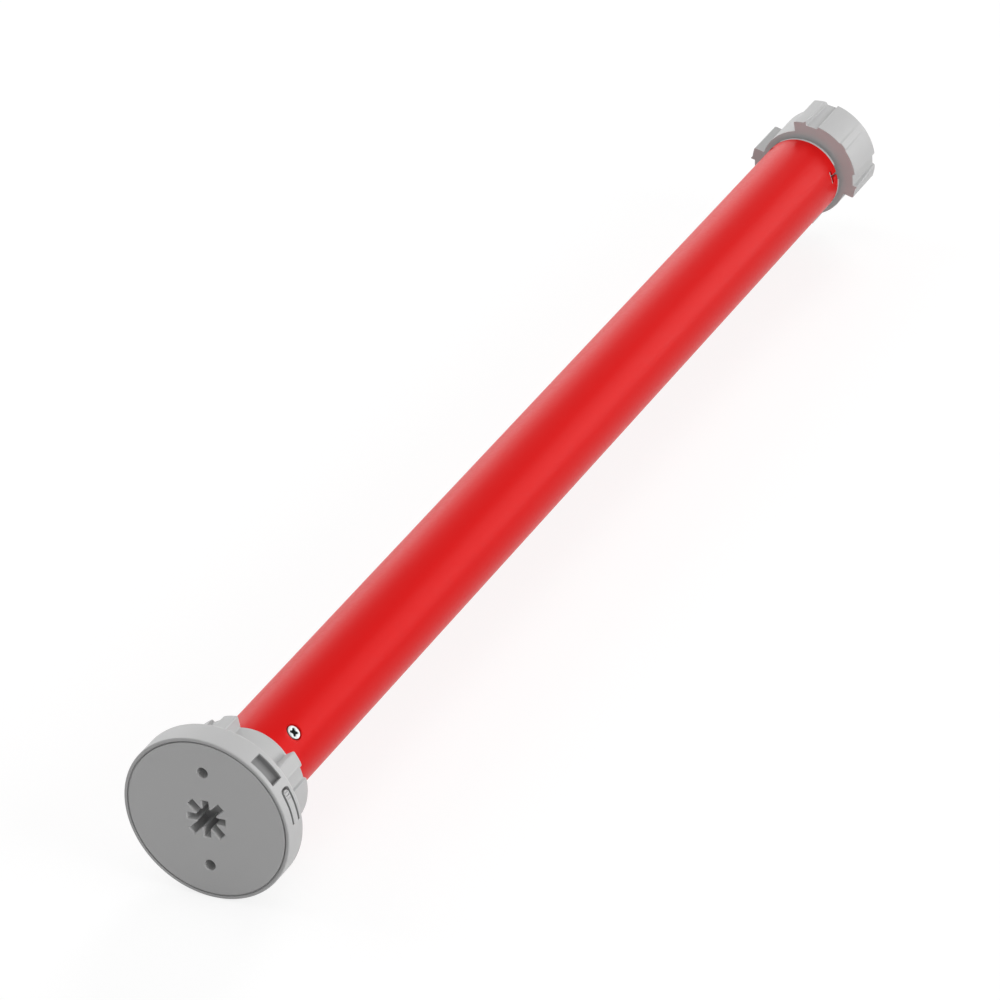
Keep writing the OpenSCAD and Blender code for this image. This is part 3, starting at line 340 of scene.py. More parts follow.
def placed(obj, matrix):
    """Moves and turns obj by matrix, and leaves the object itself at the origin."""
    only(obj)
    obj.matrix_world = matrix
    bpy.ops.object.transform_apply(location=True, rotation=True, scale=True)
    return obj


def spread(middle, width):
    """The two ends of a width round its middle."""
    return middle - width / 2, middle + width / 2


def radial_prism(name, outline, a, out):
    """A prism on an outline on the axes at a, between the two radii of out."""
    low, high = out
    lifted = [Vector((p[0], p[1], low)) for p in outline]
    return placed(prism(name, lifted, Vector((0, 0, high - low))), outward(a))


def block(name, a, across, along, out):
    """A block on the axes at a, from its ends across the axle, along it and outwards."""
    (x0, x1), (y0, y1) = across, along
    return radial_prism(name, [(x0, y0), (x1, y0), (x1, y1), (x0, y1)], a, out)


def wedge(name, angles, x, radii, run, steps=12):
    """A prism on the strip between two angles and two radii, run along the axle from x."""
    (a0, a1), (inner, outer) = angles, radii
    sweep = [a0 + (a1 - a0) * k / steps for k in range(steps + 1)]
    loop = [around(x, outer, a) for a in sweep] + [around(x, inner, a) for a in reversed(sweep)]
    return prism(name, loop, Vector((run, 0, 0)))


def modified(obj, kind, **settings):
    """Adds a modifier, sets it and applies it."""
    only(obj)
    modifier = obj.modifiers.new(kind.title(), kind)
    for key, value in settings.items():
        setattr(modifier, key, value)
    bpy.ops.object.modifier_apply(modifier=modifier.name)
    return obj


def joined(obj, tool, operation="DIFFERENCE"):
    """Cuts tool out of obj, adds it or keeps what they share, and deletes tool."""
    modified(obj, "BOOLEAN", operation=operation, object=tool, solver="MANIFOLD")
    bpy.data.objects.remove(tool)
    return obj


def rounded(obj, width):
    """Rounds the edges that are sharper than 40 degrees."""
    return modified(obj, "BEVEL", width=width, segments=2, limit_method="ANGLE",
                    angle_limit=math.radians(40), use_clamp_overlap=False,
                    harden_normals=False, miter_outer="MITER_ARC")


def finished(obj, body, slot, *nodes, limit=35):
    """Shades a piece, gives it its slot's finish and its body, and replaces the CAD nodes."""
    only(obj)
    bpy.ops.object.shade_smooth_by_angle(angle=math.radians(limit))
    modified(obj, "WEIGHTED_NORMAL", keep_sharp=True, weight=100)
    obj.data.materials.clear()
    obj.data.materials.append(finish_of(slot))
    obj.data.name = obj.name
    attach(obj, body)
    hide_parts(*nodes)


def fillet(points, n=4):
    """A closed outline from (point, radius) corners, each rounded to its radius."""
    outline = []
    for i, (corner, r) in enumerate(points):
        before, after = points[i - 1][0], points[(i + 1) % len(points)][0]
        back, ahead = (before - corner), (after - corner)
        if r <= 0:
            outline.append(corner)
            continue
        half = back.angle(ahead) / 2
        reach = min(r / math.tan(half), 0.49 * back.length, 0.49 * ahead.length)
        r_here = reach * math.tan(half)
        centre = corner + (back.normalized() + ahead.normalized()).normalized() * (
            r_here / math.sin(half))
        start = corner + back.normalized() * reach - centre
        end = corner + ahead.normalized() * reach - centre
        swing = start.angle(end)
        axis = start.cross(end).normalized()
        for k in range(n + 1):
            outline.append(centre + Matrix.Rotation(swing * k / n, 3, axis) @ start)
    return outline


# Finishes

def feed(tree, made, sockets):
    """Sets a node's inputs, or links those whose value is another node's output."""
    for key, value in sockets.items():
        if isinstance(value, bpy.types.NodeSocket):
            tree.links.new(value, made.inputs[key])
        else:
            made.inputs[key].default_value = value


def node(tree, kind, sockets=None, **settings):
    """Adds a node with its settings and its inputs."""
    made = tree.nodes.new(kind)
    for key, value in settings.items():
        setattr(made, key, value)
    feed(tree, made, sockets or {})
    return made


def new_finish(name):
    """A material with its node tree, its shader and its object coordinates."""
    finish = bpy.data.materials.new(name)
    finish.use_nodes = True
    tree = finish.node_tree
    tree.nodes.clear()
    shader = node(tree, "ShaderNodeBsdfPrincipled")
    node(tree, "ShaderNodeOutputMaterial", {"Surface": shader.outputs["BSDF"]})
    return finish, tree, shader, node(tree, "ShaderNodeTexCoord").outputs["Object"]


def grain(tree, place, scale, detail, stretch=(1, 1, 1)):
    """A noise of scale cells per metre, in place with the object."""
    mapping = node(tree, "ShaderNodeMapping", {"Scale": stretch, "Vector": place})
    return node(tree, "ShaderNodeTexNoise", {
        "Scale": scale, "Detail": detail, "Vector": mapping.outputs["Vector"]}).outputs["Fac"]


def ranged(tree, source, low, high, span=(0.3, 0.7)):
    return node(tree, "ShaderNodeMapRange", {
        "From Min": span[0], "From Max": span[1], "To Min": low, "To Max": high,
        "Value": source}).outputs["Result"]


def mixed(tree, factor, a, b):
    return node(tree, "ShaderNodeMix", {"Factor": factor, "A": a, "B": b},
                data_type="RGBA").outputs["Result"]


def tinted(tree, source, base, drift):
    """A colour that wanders by drift round base, as moulded or painted stock does."""
    return mixed(tree, source, (*[c * (1 - drift) for c in base], 1),
                 (*[min(1, c * (1 + drift)) for c in base], 1))


def bumped(tree, source, strength, depth):
    return node(tree, "ShaderNodeBump", {
        "Strength": strength, "Distance": depth, "Height": source}).outputs["Normal"]


def surface(name, base, drift, clouds, marks, roughness, bump, **sockets):
    """A finish whose colour wanders by drift over its clouds, and which its marks roughen.
    Clouds and marks are grain()'s numbers, and bump is a strength and a depth."""
    finish, tree, shader, place = new_finish(name)
    fine = grain(tree, place, *marks)
    feed(tree, shader, {
        "Base Color": tinted(tree, grain(tree, place, *clouds), base, drift),
        "Roughness": ranged(tree, fine, *roughness), "Normal": bumped(tree, fine, *bump),
        **sockets})
    return finish


def moulded_plastic(name, base, rough=0.5, specular=0.4):
    """Smooth moulded plastic with a fine spark-eroded grain and faint cloudiness."""
    return surface(name, base, drift=0.012, clouds=(60, 2), marks=(3800, 3),
                   roughness=(rough - 0.04, rough + 0.05), bump=(0.12, 0.02 * MM),
                   **{"Specular IOR Level": specular})


def red_enamel(name, base):
    """Sprayed enamel on a drawn tube: a faint orange peel under a satin surface."""
    return surface(name, base, drift=0.02, clouds=(25, 2, (0.25, 1, 1)), marks=(900, 1.5),
                   roughness=(0.30, 0.37), bump=(0.05, 0.03 * MM),
                   **{"Specular IOR Level": 0.085})


def plated_metal(name, base, rough):
    """Bright metal with fine turning marks."""
    marks = (2600, 4, (1, 0.3, 1))
    return surface(name, base, drift=0.04, clouds=marks, marks=marks,
                   roughness=(rough - 0.06, rough + 0.1), bump=(0.08, 0.006 * MM), Metallic=1.0)


def soft_rubber(name, base):
    """Dull rubber with a fine grain."""
    return surface(name, base, drift=0.04, clouds=(2500, 3), marks=(2500, 3),
                   roughness=(0.62, 0.74), bump=(0.15, 0.02 * MM),
                   **{"Specular IOR Level": 0.3})


def screw_plating(name, base):
    """Bright plating, with painted shade that darkens the cross recess below the head's top."""
    finish, tree, shader, place = new_finish(name)
    marks = grain(tree, place, 2600, 4)
    across = node(tree, "ShaderNodeVectorMath", {0: place, 1: (0, 1, 1)}, operation="MULTIPLY")
    level = node(tree, "ShaderNodeVectorMath", {0: across.outputs["Vector"]}, operation="LENGTH")
    t = bpy.context.scene.blind_motor_tube
    top = t.tube_r - t.screw_drop
    # Painted shade: below the head's top the recess is mixed to near black, with less metal and
    # shine
    unshaded = ranged(tree, level.outputs["Value"], 0, 1, (top - 0.14 * MM, top - 0.02 * MM))
    feed(tree, shader, {
        "Base Color": mixed(tree, unshaded, RECESS_SHADE_COLOUR, tinted(tree, marks, base, 0.04)),
        "Metallic": ranged(tree, unshaded, 0, 0.35, span=(0, 1)),
        "Specular IOR Level": ranged(tree, unshaded, 0.05, 0.5, span=(0, 1)),
        "Roughness": 0.3,
        "Normal": bumped(tree, marks, 0.06, 0.006 * MM)})
    return finish


# Near black, painted as the shade inside the screws' cross recess
RECESS_SHADE_COLOUR = (0.03, 0.035, 0.035, 1)
GREY = ("grey_shell", moulded_plastic, "shell")
BLACK = ("black_moulding", moulded_plastic, (0.03, 0.03, 0.03), 0.5)

# Each slot's finish: its name, its maker, its colour or the setting that holds it, and its
# roughness and specular level
FINISHES = {
    "light_grey_plastic": GREY,
    "grey_ribbon": GREY,
    # The face plate takes its own lighter copy of the shell's plastic: painted light on the face
    "face_plastic": ("grey_face", moulded_plastic, "face", 0.55, 0.3),
    "dark_rubber": ("window_rubber", soft_rubber, "plug"),
    "tube_red": ("red_tube_enamel", red_enamel, "enamel"),
    "screw_steel": ("screw_plating", screw_plating, "screw"),
    "steel": ("plain_steel", plated_metal, (0.45, 0.46, 0.48), 0.34),
    "brass": ("bush_brass", plated_metal, (0.62, 0.45, 0.17), 0.32),
    "copper": ("winding_copper", plated_metal, (0.62, 0.24, 0.10), 0.35),
    "board_green": ("board_lacquer", moulded_plastic, (0.012, 0.10, 0.045), 0.35, 0.5),
    "black_plastic": BLACK,
    "magnet_ferrite": BLACK,
    "carbon": BLACK,
    "nylon": ("natural_nylon", moulded_plastic, (0.80, 0.78, 0.70), 0.45),
    "cell_wrap": ("cell_film", moulded_plastic, (0.05, 0.16, 0.45), 0.3, 0.5),
    "red_lead": ("lead_red", moulded_plastic, (0.60, 0.02, 0.02), 0.45),
    "black_rubber": ("black_rubber_sleeve", soft_rubber, (0.012, 0.012, 0.012)),
}


def finish_of(slot):
    """The finish of a material slot, made the first time that it is asked for."""
    name, maker, base, *rest = FINISHES[slot]
    if name in bpy.data.materials:
        return bpy.data.materials[name]
    if isinstance(base, str):
        base = getattr(bpy.context.scene.blind_motor_finishes, base)
    return maker(name, base, *rest)


# The head

BACK_WALL = 1.5 * MM  # Between rim and journal
BOSS_WALL = 1.2 * MM  # Round the star and the holes
BOSS_LEN = 6 * MM
SOCKET_FLOOR = 1.5 * MM
HOLE_BEVEL = 0.2 * MM
ARMS = 8
ARM_ROUND = 0.1 * MM
ROOT_GAP = 0.2 * MM  # Left at the tongue's root until edges are rounded
GRIP_FIRST = 0.55 * MM  # From the tongue's tip
GRIP_W = 0.34 * MM
GRIP_DEPTH = 0.22 * MM
GRIP_INSET = 0.3 * MM  # From the tongue's sides
TRAY_FLOOR = 0.8 * MM


def tongue_outline(s, grow, cut):
    """The tongue's outline, grown by grow on three sides, with its root at the far end."""
    half, w = s.button_len / 2, s.button_w / 2 + grow
    r = s.tip_round + grow / 2
    low, high = s.button_x - w, s.button_x + w
    return fillet([(Vector((-half - grow, low, 0)), r), (Vector((half - cut, low, 0)), 0),
                   (Vector((half - cut, high, 0)), 0), (Vector((-half - grow, high, 0)), r)], 8)


class BM_OT_rim(bpy.types.Operator):
    """Turns the head's rim with its journal and cuts the window and the button's slot"""
    bl_idname = "blind_motor.rim"
    bl_label = "Head Rim"

    def execute(self, context):
        s = context.scene.blind_motor_head
        lip_r, seat_r = s.rim_r - s.lip_w, s.plate_r + FIT
        back = s.rim_len - BACK_WALL
        rim = turned("head_rim", [
            (s.groove_depth, lip_r, 0.05 * MM), (0, lip_r, 0.12 * MM),
            (0, s.rim_r, s.front_round),
            (s.rim_len, s.rim_r, s.back_round),
            (s.rim_len, s.journal_r, 0.2 * MM),
            (HEAD_HIGH.x, s.journal_r, 0.1 * MM), (HEAD_HIGH.x, s.journal_bore_r),
            (back, s.journal_bore_r), (back, s.rim_in_r),
            (s.plate_t, s.rim_in_r), (s.plate_t, seat_r),
            (s.groove_depth, seat_r)], n=8)
        through = (s.rim_in_r - OVER, s.rim_r + OVER)
        joined(rim, block("window_cut", s.window_a, spread(0, s.window_len),
                          spread(s.window_x, s.window_w), through))
        joined(rim, radial_prism("slot_cut", tongue_outline(s, s.button_slot, ROOT_GAP),
                                 s.button_a, through))
        rounded(rim, 0.09 * MM)
        root = s.button_len / 2
        joined(rim, block("root_cut", s.button_a, (root - 2 * ROOT_GAP, root),
                          spread(s.button_x, s.button_w), through))
        finished(rim, "motor", "light_grey_plastic", "head_housing")
        return {"FINISHED"}


class BM_OT_face(bpy.types.Operator):
    """Turns the face plate with its bosses and cuts the star socket and the screw holes"""
    bl_idname = "blind_motor.face"
    bl_label = "Face Plate"

    def star(self, s, x, grow):
        """The star's outline at x: its arms grown by grow, with rounded valleys."""
        corners, step = [], TURN / ARMS
        for k in range(ARMS):
            here = (s.long_reach, s.long_w / 2) if k % 2 else (s.short_reach, s.short_w / 2)
            there = (s.short_w if k % 2 else s.long_w) / 2 + grow
            turn = Matrix.Rotation(k * step, 3, "X")
            reach, half = here[0] + grow, here[1] + grow
            # Where this arm's side meets the next arm's
            meet = (there + half * math.cos(step)) / math.sin(step)
            corners += [(turn @ Vector((x, reach, -half)), ARM_ROUND),
                        (turn @ Vector((x, reach, half)), ARM_ROUND),
                        (turn @ Vector((x, meet, half)), s.valley_round)]
        return fillet(corners, 5)

    def execute(self, context):
        s = context.scene.blind_motor_head
        boss_r, boss_x = s.long_reach + BOSS_WALL, s.socket_depth + SOCKET_FLOOR
        plate = turned("face_disc", [
            (0, 0), (0, s.plate_r, 0.18 * MM), (s.plate_t, s.plate_r),
            (s.plate_t, boss_r), (boss_x, boss_r), (boss_x, 0)], n=4)
        mouth_r = s.hole_r + HOLE_BEVEL
        for side in (-1, 1):
            place = Matrix.Translation((0, 0, side * s.hole_pitch / 2))
            boss = pipe("screw_boss", (DEEP_LAP, BOSS_LEN), (0, s.hole_r + BOSS_WALL), 48)
            joined(plate, placed(boss, place), "UNION")
            bore = turned("screw_hole", [
                (-OVER, 0), (-OVER, mouth_r), (0, mouth_r), (HOLE_BEVEL, s.hole_r),
                (s.hole_depth, s.hole_r), (s.hole_depth, 0)], 64)
            joined(plate, placed(bore, place))
        # Where the star is drawn and how far it is grown there: its bevel is slightly hollow
        bevel = s.socket_bevel
        levels = ((-0.1 * MM, bevel + 0.1 * MM), (bevel * 0.55, bevel * 0.35),
                  (bevel * 1.15, 0), (s.socket_depth, 0))
        joined(plate, lofted("star_cut", [self.star(s, x, grow) for x, grow in levels]))
        finished(plate, "motor", "face_plastic", "face_plate", limit=30)
        return {"FINISHED"}


class BM_OT_button(bpy.types.Operator):
    """Cuts the push tongue out of a ring and cuts its grip grooves"""
    bl_idname = "blind_motor.button"
    bl_label = "Push Tongue"

    def execute(self, context):
        s = context.scene.blind_motor_head
        tongue = pipe("push_tongue", spread(s.button_x, 2 * s.button_w),
                      (s.rim_r - s.tongue_t, s.rim_r), 360)
        joined(tongue, radial_prism("tongue_form", tongue_outline(s, 0, -ROOT_GAP), s.button_a,
                                    (s.rim_in_r, s.rim_r + OVER)), "INTERSECT")
        root = s.button_len / 2
        for i in range(s.grip_count):
            across = GRIP_FIRST - root + i * s.grip_step
            top = math.sqrt(s.rim_r ** 2 - across ** 2)
            joined(tongue, block("grip_cut", s.button_a, spread(across, GRIP_W),
                                 spread(s.button_x, s.button_w - 2 * GRIP_INSET),
                                 (top - GRIP_DEPTH, top + OVER)))
        rounded(tongue, 0.07 * MM)
        joined(tongue, block("root_cut", s.button_a, (root - SLIVER, root + OVER),
                             (0, s.rim_len), (s.rim_in_r - OVER, s.rim_r + OVER)))
        finished(tongue, "button", "light_grey_plastic", "button_tongue")
        return {"FINISHED"}


class BM_OT_window(bpy.types.Operator):
    """Models the dished plug in the charging window"""
    bl_idname = "blind_motor.window"
    bl_label = "Window Plug"

    def execute(self, context):
        s = context.scene.blind_motor_head
        half, w = s.window_len / 2 - FIT, s.window_w / 2 - FIT
        floor_r = s.rim_r - s.tray_depth
        plug = block("window_plug", s.window_a, (-half, half), (s.window_x - w, s.window_x + w),
                     (floor_r - TRAY_FLOOR, s.rim_r + OVER))
        joined(plug, pipe("plug_form", (0, s.rim_len),
                          (s.rim_in_r - 4 * OVER, floor_r + s.tray_lip), 360), "INTERSECT")
        side, end, top = s.tray_wall - half, w - s.tray_wall, s.rim_r + 2 * OVER
        low, high = s.window_x - end, s.window_x + end
        tray = prism("tray_cut", fillet([
            (Vector((side, low, top)), 0), (Vector((side, high, top)), 0),
            (Vector((side, high, floor_r)), s.tray_round),
            (Vector((side, low, floor_r)), s.tray_round)], 8), Vector((-2 * side, 0, 0)))
        joined(plug, placed(tray, outward(s.window_a)))
        rounded(plug, 0.08 * MM)
        finished(plug, "plug", "dark_rubber", "port_plug")
        return {"FINISHED"}


# Crown and drive wheel

ARC_STEP = math.radians(2.5)
SAME_R = 0.05 * MM  # Corners whose radii differ by less lie on one arc
SPOKES = 6
SPOKE_DROP = 1.0 * MM  # Below the hub's end
SPOKE_LAP = 0.3 * MM
BORE_R = 3.05 * MM
BORE_FLAT = 2.45 * MM
POCKET_SIDE = 0.2 * MM


def roller_corners(s, low_r, lead):
    """Corners (angle, radius, rounding in mm) of the ribbed outline. Lead goes from 0 at the
    near end to 1 at the far end, where the bump and the tooth run out."""
    shelf_r, tooth_r = s.sector_r - s.shelf_drop, s.sector_r + s.tooth_h * (1 - lead)
    deg = math.radians(1)
    quarter = [
        (s.bump_a, s.sector_r + s.bump_h * (1 - lead), 0.9),
        (s.bump_a + 1.3 * deg, s.sector_r, 0.9),
        (s.arc_a, s.sector_r, 0.16), (s.arc_a + 0.7 * deg, shelf_r, 0.3),
        (s.rib_a - 1.7 * lead * deg, shelf_r, 0.3),
        (s.rib_a + (0.5 - 1.1 * lead) * deg, tooth_r - 0.12 * lead * MM, 0.16 + 0.3 * lead),
        (s.rib_a + 1.5 * deg, tooth_r - 0.02 * MM, 0.25), (s.rib_a + 2.9 * deg, s.sector_r, 0.8),
        (s.sector_a - 0.4 * deg, s.sector_r, 0.45), (s.sector_a + 0.2 * deg, low_r, 0.35),
    ]
    corners = []
    for half in (0, math.pi):
        corners += [(half - a, r, f) for a, r, f in reversed(quarter)]
        corners += [(half + a, r, f) for a, r, f in quarter]
    return corners


def roller_outline(s, low_r, turn, lead):
    """The ribbed outline, as points round the axle: two broad sectors and two low ones."""
    near, corners = roller_corners(s, low_r, 0), roller_corners(s, low_r, lead)
    flat = []
    for i, (a, r, f) in enumerate(corners):
        flat.append((around(0, r, a + turn), f * MM))
        ahead = (i + 1) % len(corners)
        b, r_next, _ = corners[ahead]
        steps = int(((near[ahead][0] - near[i][0]) % TURN) / ARC_STEP)
        if abs(near[ahead][1] - near[i][1]) < SAME_R and steps > 1:
            flat += [(around(0, r + (r_next - r) * k / steps,
                             a + turn + ((b - a) % TURN) * k / steps), 0)
                     for k in range(1, steps)]
    return fillet(flat, 4)


def lofted(name, loops):
    """A closed form through loops of equally many points."""
    form = drawn(name, loops[0])
    for loop in loops[1:]:
        section = drawn("section", loop)
        only(form)
        section.select_set(True)
        bpy.ops.object.join()
    count = len(loops[0])
    for i in range(len(loops) - 1):
        in_edit(form, lambda: bpy.ops.mesh.select_all(action="DESELECT"))
        for vertex in form.data.vertices:
            vertex.select = i * count <= vertex.index < (i + 2) * count
        for edge in form.data.edges:
            edge.select = all(form.data.vertices[k].select for k in edge.vertices)
        only(form)
        mode("EDIT")
        bpy.ops.mesh.bridge_edge_loops()
        mode("OBJECT")
    in_edit(form, lambda: bpy.ops.mesh.fill_holes(sides=0), face_out)
    return form


def roller(name, s, low_r, turn, near, far):
    """The ribbed form, lofted from its near outline to its far one, with rounded ends."""
    def section(x, lead, drop):
        return [p * (1 - drop / p.length) + Vector((x, 0, 0))
                for p in roller_outline(s, low_r, turn, lead)]
    bends = [(1 - math.sin(a), 1 - math.cos(a)) for a in (TURN / 16 * k for k in range(5))]
    return lofted(name, [section(near + s.edge * back, 0, s.edge * drop)
                         for back, drop in reversed(bends)]
                  + [section(far - s.far_edge * back, 1, s.far_edge * drop)
                     for back, drop in bends])


def cut_pockets(form, s, inner_r, x_open, depth, turn):
    """Cuts the pockets under the broad sectors, open at x_open."""
    outer = s.sector_r - s.shelf_drop - s.pocket_wall
    start = math.asin((s.spoke_t / 2 + POCKET_SIDE) / s.crown_low_r)
    end = s.sector_a - math.asin((s.pocket_wall + POCKET_SIDE) / s.crown_low_r)
    for half in (turn, turn + math.pi):
        for a0, a1 in ((start, end), (-end, -start)):
            joined(form, wedge("pocket_cut", (half + a0, half + a1), x_open - depth,
                               (inner_r, outer), depth + OVER, steps=24))


class BM_OT_crown(bpy.types.Operator):
    """Models the ribbed crown behind the head"""
    bl_idname = "blind_motor.crown"
    bl_label = "Crown"

    def execute(self, context):
        s = context.scene.blind_motor_roller
        crown = roller("ribbed_crown", s, s.crown_low_r, s.crown_turn, CROWN_LOW.x, CROWN_HIGH.x)
        bore_r = context.scene.blind_motor_head.journal_r + RUN
        joined(crown, pipe("crown_bore", (CROWN_LOW.x - OVER, CROWN_HIGH.x + OVER),
                           (0, bore_r), 128))
        cut_pockets(crown, s, bore_r + s.pocket_wall, CROWN_HIGH.x, s.pocket_depth,
                    s.crown_turn)
        finished(crown, "crown", "light_grey_plastic", "crown")
        return {"FINISHED"}


class BM_OT_wheel(bpy.types.Operator):
    """Models the drive wheel with its hub, spokes and pockets"""
    bl_idname = "blind_motor.wheel"
    bl_label = "Drive Wheel"

    def execute(self, context):
        s = context.scene.blind_motor_roller
        near, far = WHEEL_LOW.x, WHEEL_HIGH.x
        wheel = roller("ribbed_wheel", s, s.wheel_low_r, s.wheel_turn, near, far)
        inner, floor = s.wheel_low_r - s.pocket_wall, far - s.pocket_depth
        joined(wheel, pipe("well_cut", (floor, far + OVER), (0, inner), 128))
        cut_pockets(wheel, s, inner - DEEP_LAP, far, s.pocket_depth - 2 * SLIVER, s.wheel_turn)
        foot, hub_top = floor - LAP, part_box("wheel_clip")[0].x
        hub = turned("hub_form", [
            (foot, 0), (foot, s.hub_r), (hub_top, s.hub_r, 0.3 * MM), (hub_top, 0)], 96)
        joined(wheel, hub, "UNION")
        for a in round_from(s.wheel_turn, SPOKES):
            joined(wheel, block("spoke_form", a, spread(0, s.spoke_t),
                                (foot, hub_top - SPOKE_DROP),
                                (s.hub_r - DEEP_LAP, inner + SPOKE_LAP)), "UNION")
        start, end = near - OVER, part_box("output_carrier")[1].x + 2 * OVER
        rim = [around(start, BORE_R, TURN * k / 72) for k in range(72)]
        loop = [Vector((p.x, p.y, max(-BORE_FLAT, min(BORE_FLAT, p.z)))) for p in rim]
        bore = prism("shaft_bore", loop, Vector((end - start, 0, 0)))
        joined(wheel, placed(bore, Matrix.Rotation(s.wheel_turn, 4, "X")))
        finished(wheel, "output", "light_grey_plastic", "drive_wheel")
        return {"FINISHED"}


# Tube

SCREWS = 2
SLITS = 3
KEY_PLAY = math.radians(0.3)
SEAT_GAP = 0.24 * MM
THROAT_SHARE = 0.55  # Of the seat's radius
HEAD_T = 0.9 * MM
SHANK_R = 1.0 * MM
SCREW_LEN = 5.5 * MM
# The cross recess above the screw's top and at its floor: place, half width, reach and valley
RECESS = ((0.1 * MM, 0.31 * MM, 1.4 * MM, 0.52 * MM),
          (-1.1 * MM, 0.18 * MM, 0.62 * MM, 0.28 * MM))
DRILL_R = 0.97 * MM  # Of the plug's screw holes
MOUTH_R = 1.36 * MM
PLUG_BORE_R = 9 * MM
FLANGE_BORE_R = 4.5 * MM
BRIM_SHARE = 0.75  # Of the flange's thickness
BRIM_W = 2.5 * MM
NOTCH_DEPTH = 0.4 * MM
GROOVE_DEPTH = 1.1 * MM  # Under the slits
PAD_GAP = 0.03 * MM
PAD_SHARE = 0.62  # Of the bar's width, beyond the pad


def screw_seat(t, a):
    """Axes at the top of the screw at a, with x along the screw outwards."""
    return outward(a) @ Matrix.Translation(
        (0, TUBE_LOW.x + t.screw_inset, t.tube_r - t.screw_drop)) @ UPRIGHT


def cut_slit(form, t, a, lap, end, out):
    """Cuts the T-shaped slit at a between the radii of out, with its stem up to end."""
    foot = TUBE_HIGH.x - t.slit_stem
    joined(form, block("stem_cut", a, spread(0, t.slit_stem_w), (foot - lap, end), out))
    joined(form, block("bar_cut", a, spread(0, t.slit_bar), (foot - t.slit_bar_w, foot), out))


class BM_OT_tube(bpy.types.Operator):
    """Draws the tube and cuts its slits, its key notch and its screw seats"""
    bl_idname = "blind_motor.tube"
    bl_label = "Tube"

    def execute(self, context):
        t = context.scene.blind_motor_tube
        start, end = TUBE_LOW.x, TUBE_HIGH.x
        inner = t.tube_r - t.tube_wall
        through = (inner - OVER, t.tube_r + OVER)
        # Rings of points bound the screw seats and the slits, and keep the shading between even
        near_ring, seat_ring, slit_ring = start + 4 * MM, start + 11 * MM, end - 6 * MM
        tube = turned("red_tube", [
            (start, inner), (start, t.tube_r, 0.12 * MM),
            (near_ring, t.tube_r), (seat_ring, t.tube_r),
            (slit_ring, t.tube_r), (end, t.tube_r, 0.12 * MM),
            (end, inner), (slit_ring, inner), (seat_ring, inner)], n=3)
        for a in round_from(t.slit_a, SLITS):
            cut_slit(tube, t, a, LAP, end + OVER, through)
        joined(tube, wedge("key_cut", spread(t.key_a, 2 * (t.key_half + KEY_PLAY)),
                           end - t.key_len, through, t.key_len + OVER))
        seat_r = t.screw_head_r + SEAT_GAP
        throat_r = seat_r * THROAT_SHARE
        for a in round_from(t.screw_a, SCREWS):
            cone = turned("seat_cut", [
                (-2 * MM, 0), (-2 * MM, throat_r), (-1.1 * MM, throat_r), (-0.3 * MM, seat_r),
                (OVER, seat_r), (OVER, 0)], 64)
            joined(tube, placed(cone, screw_seat(t, a)))
        rounded(tube, 0.06 * MM)
        finished(tube, "motor", "tube_red", "motor_tube")
        return {"FINISHED"}


class BM_OT_screws(bpy.types.Operator):
    """Turns a countersunk screw, cuts its cross recess and copies it"""
    bl_idname = "blind_motor.screws"
    bl_label = "Tube Screws"

    def cross(self, x, half, reach, inner):
        """The recess's outline at x: four rounded arms that meet in rounded valleys."""
        corners = []
        for k in range(4):
            turn = Matrix.Rotation(k * TURN / 4, 3, "X")
            corners += [(turn @ Vector((x, reach, -half)), 0.12 * MM),
                        (turn @ Vector((x, reach, half)), 0.12 * MM),
                        (turn @ Vector((x, inner, inner)), 0.3 * MM)]
        return fillet(corners, 4)

    def execute(self, context):
        t = context.scene.blind_motor_tube
        screw = turned("cross_screws", [
            (0, 0), (0, t.screw_head_r, 0.1 * MM), (-HEAD_T, SHANK_R),
            (-SCREW_LEN, SHANK_R), (-SCREW_LEN, 0)], 96, n=3)
        cross = lofted("cross_cut", [self.cross(*level) for level in RECESS])
        joined(screw, placed(cross, Matrix.Rotation(TURN / 8, 4, "X")))
        rounded(screw, 0.05 * MM)
        second = screw.copy()
        second.data = screw.data.copy()
        bpy.context.collection.objects.link(second)
        for obj, a in zip((screw, second), round_from(t.screw_a, SCREWS)):
            placed(obj, screw_seat(t, a))
        only(screw)
        second.select_set(True)
        bpy.ops.object.join()
        finished(screw, "motor", "screw_steel", "tube_screws")
        return {"FINISHED"}


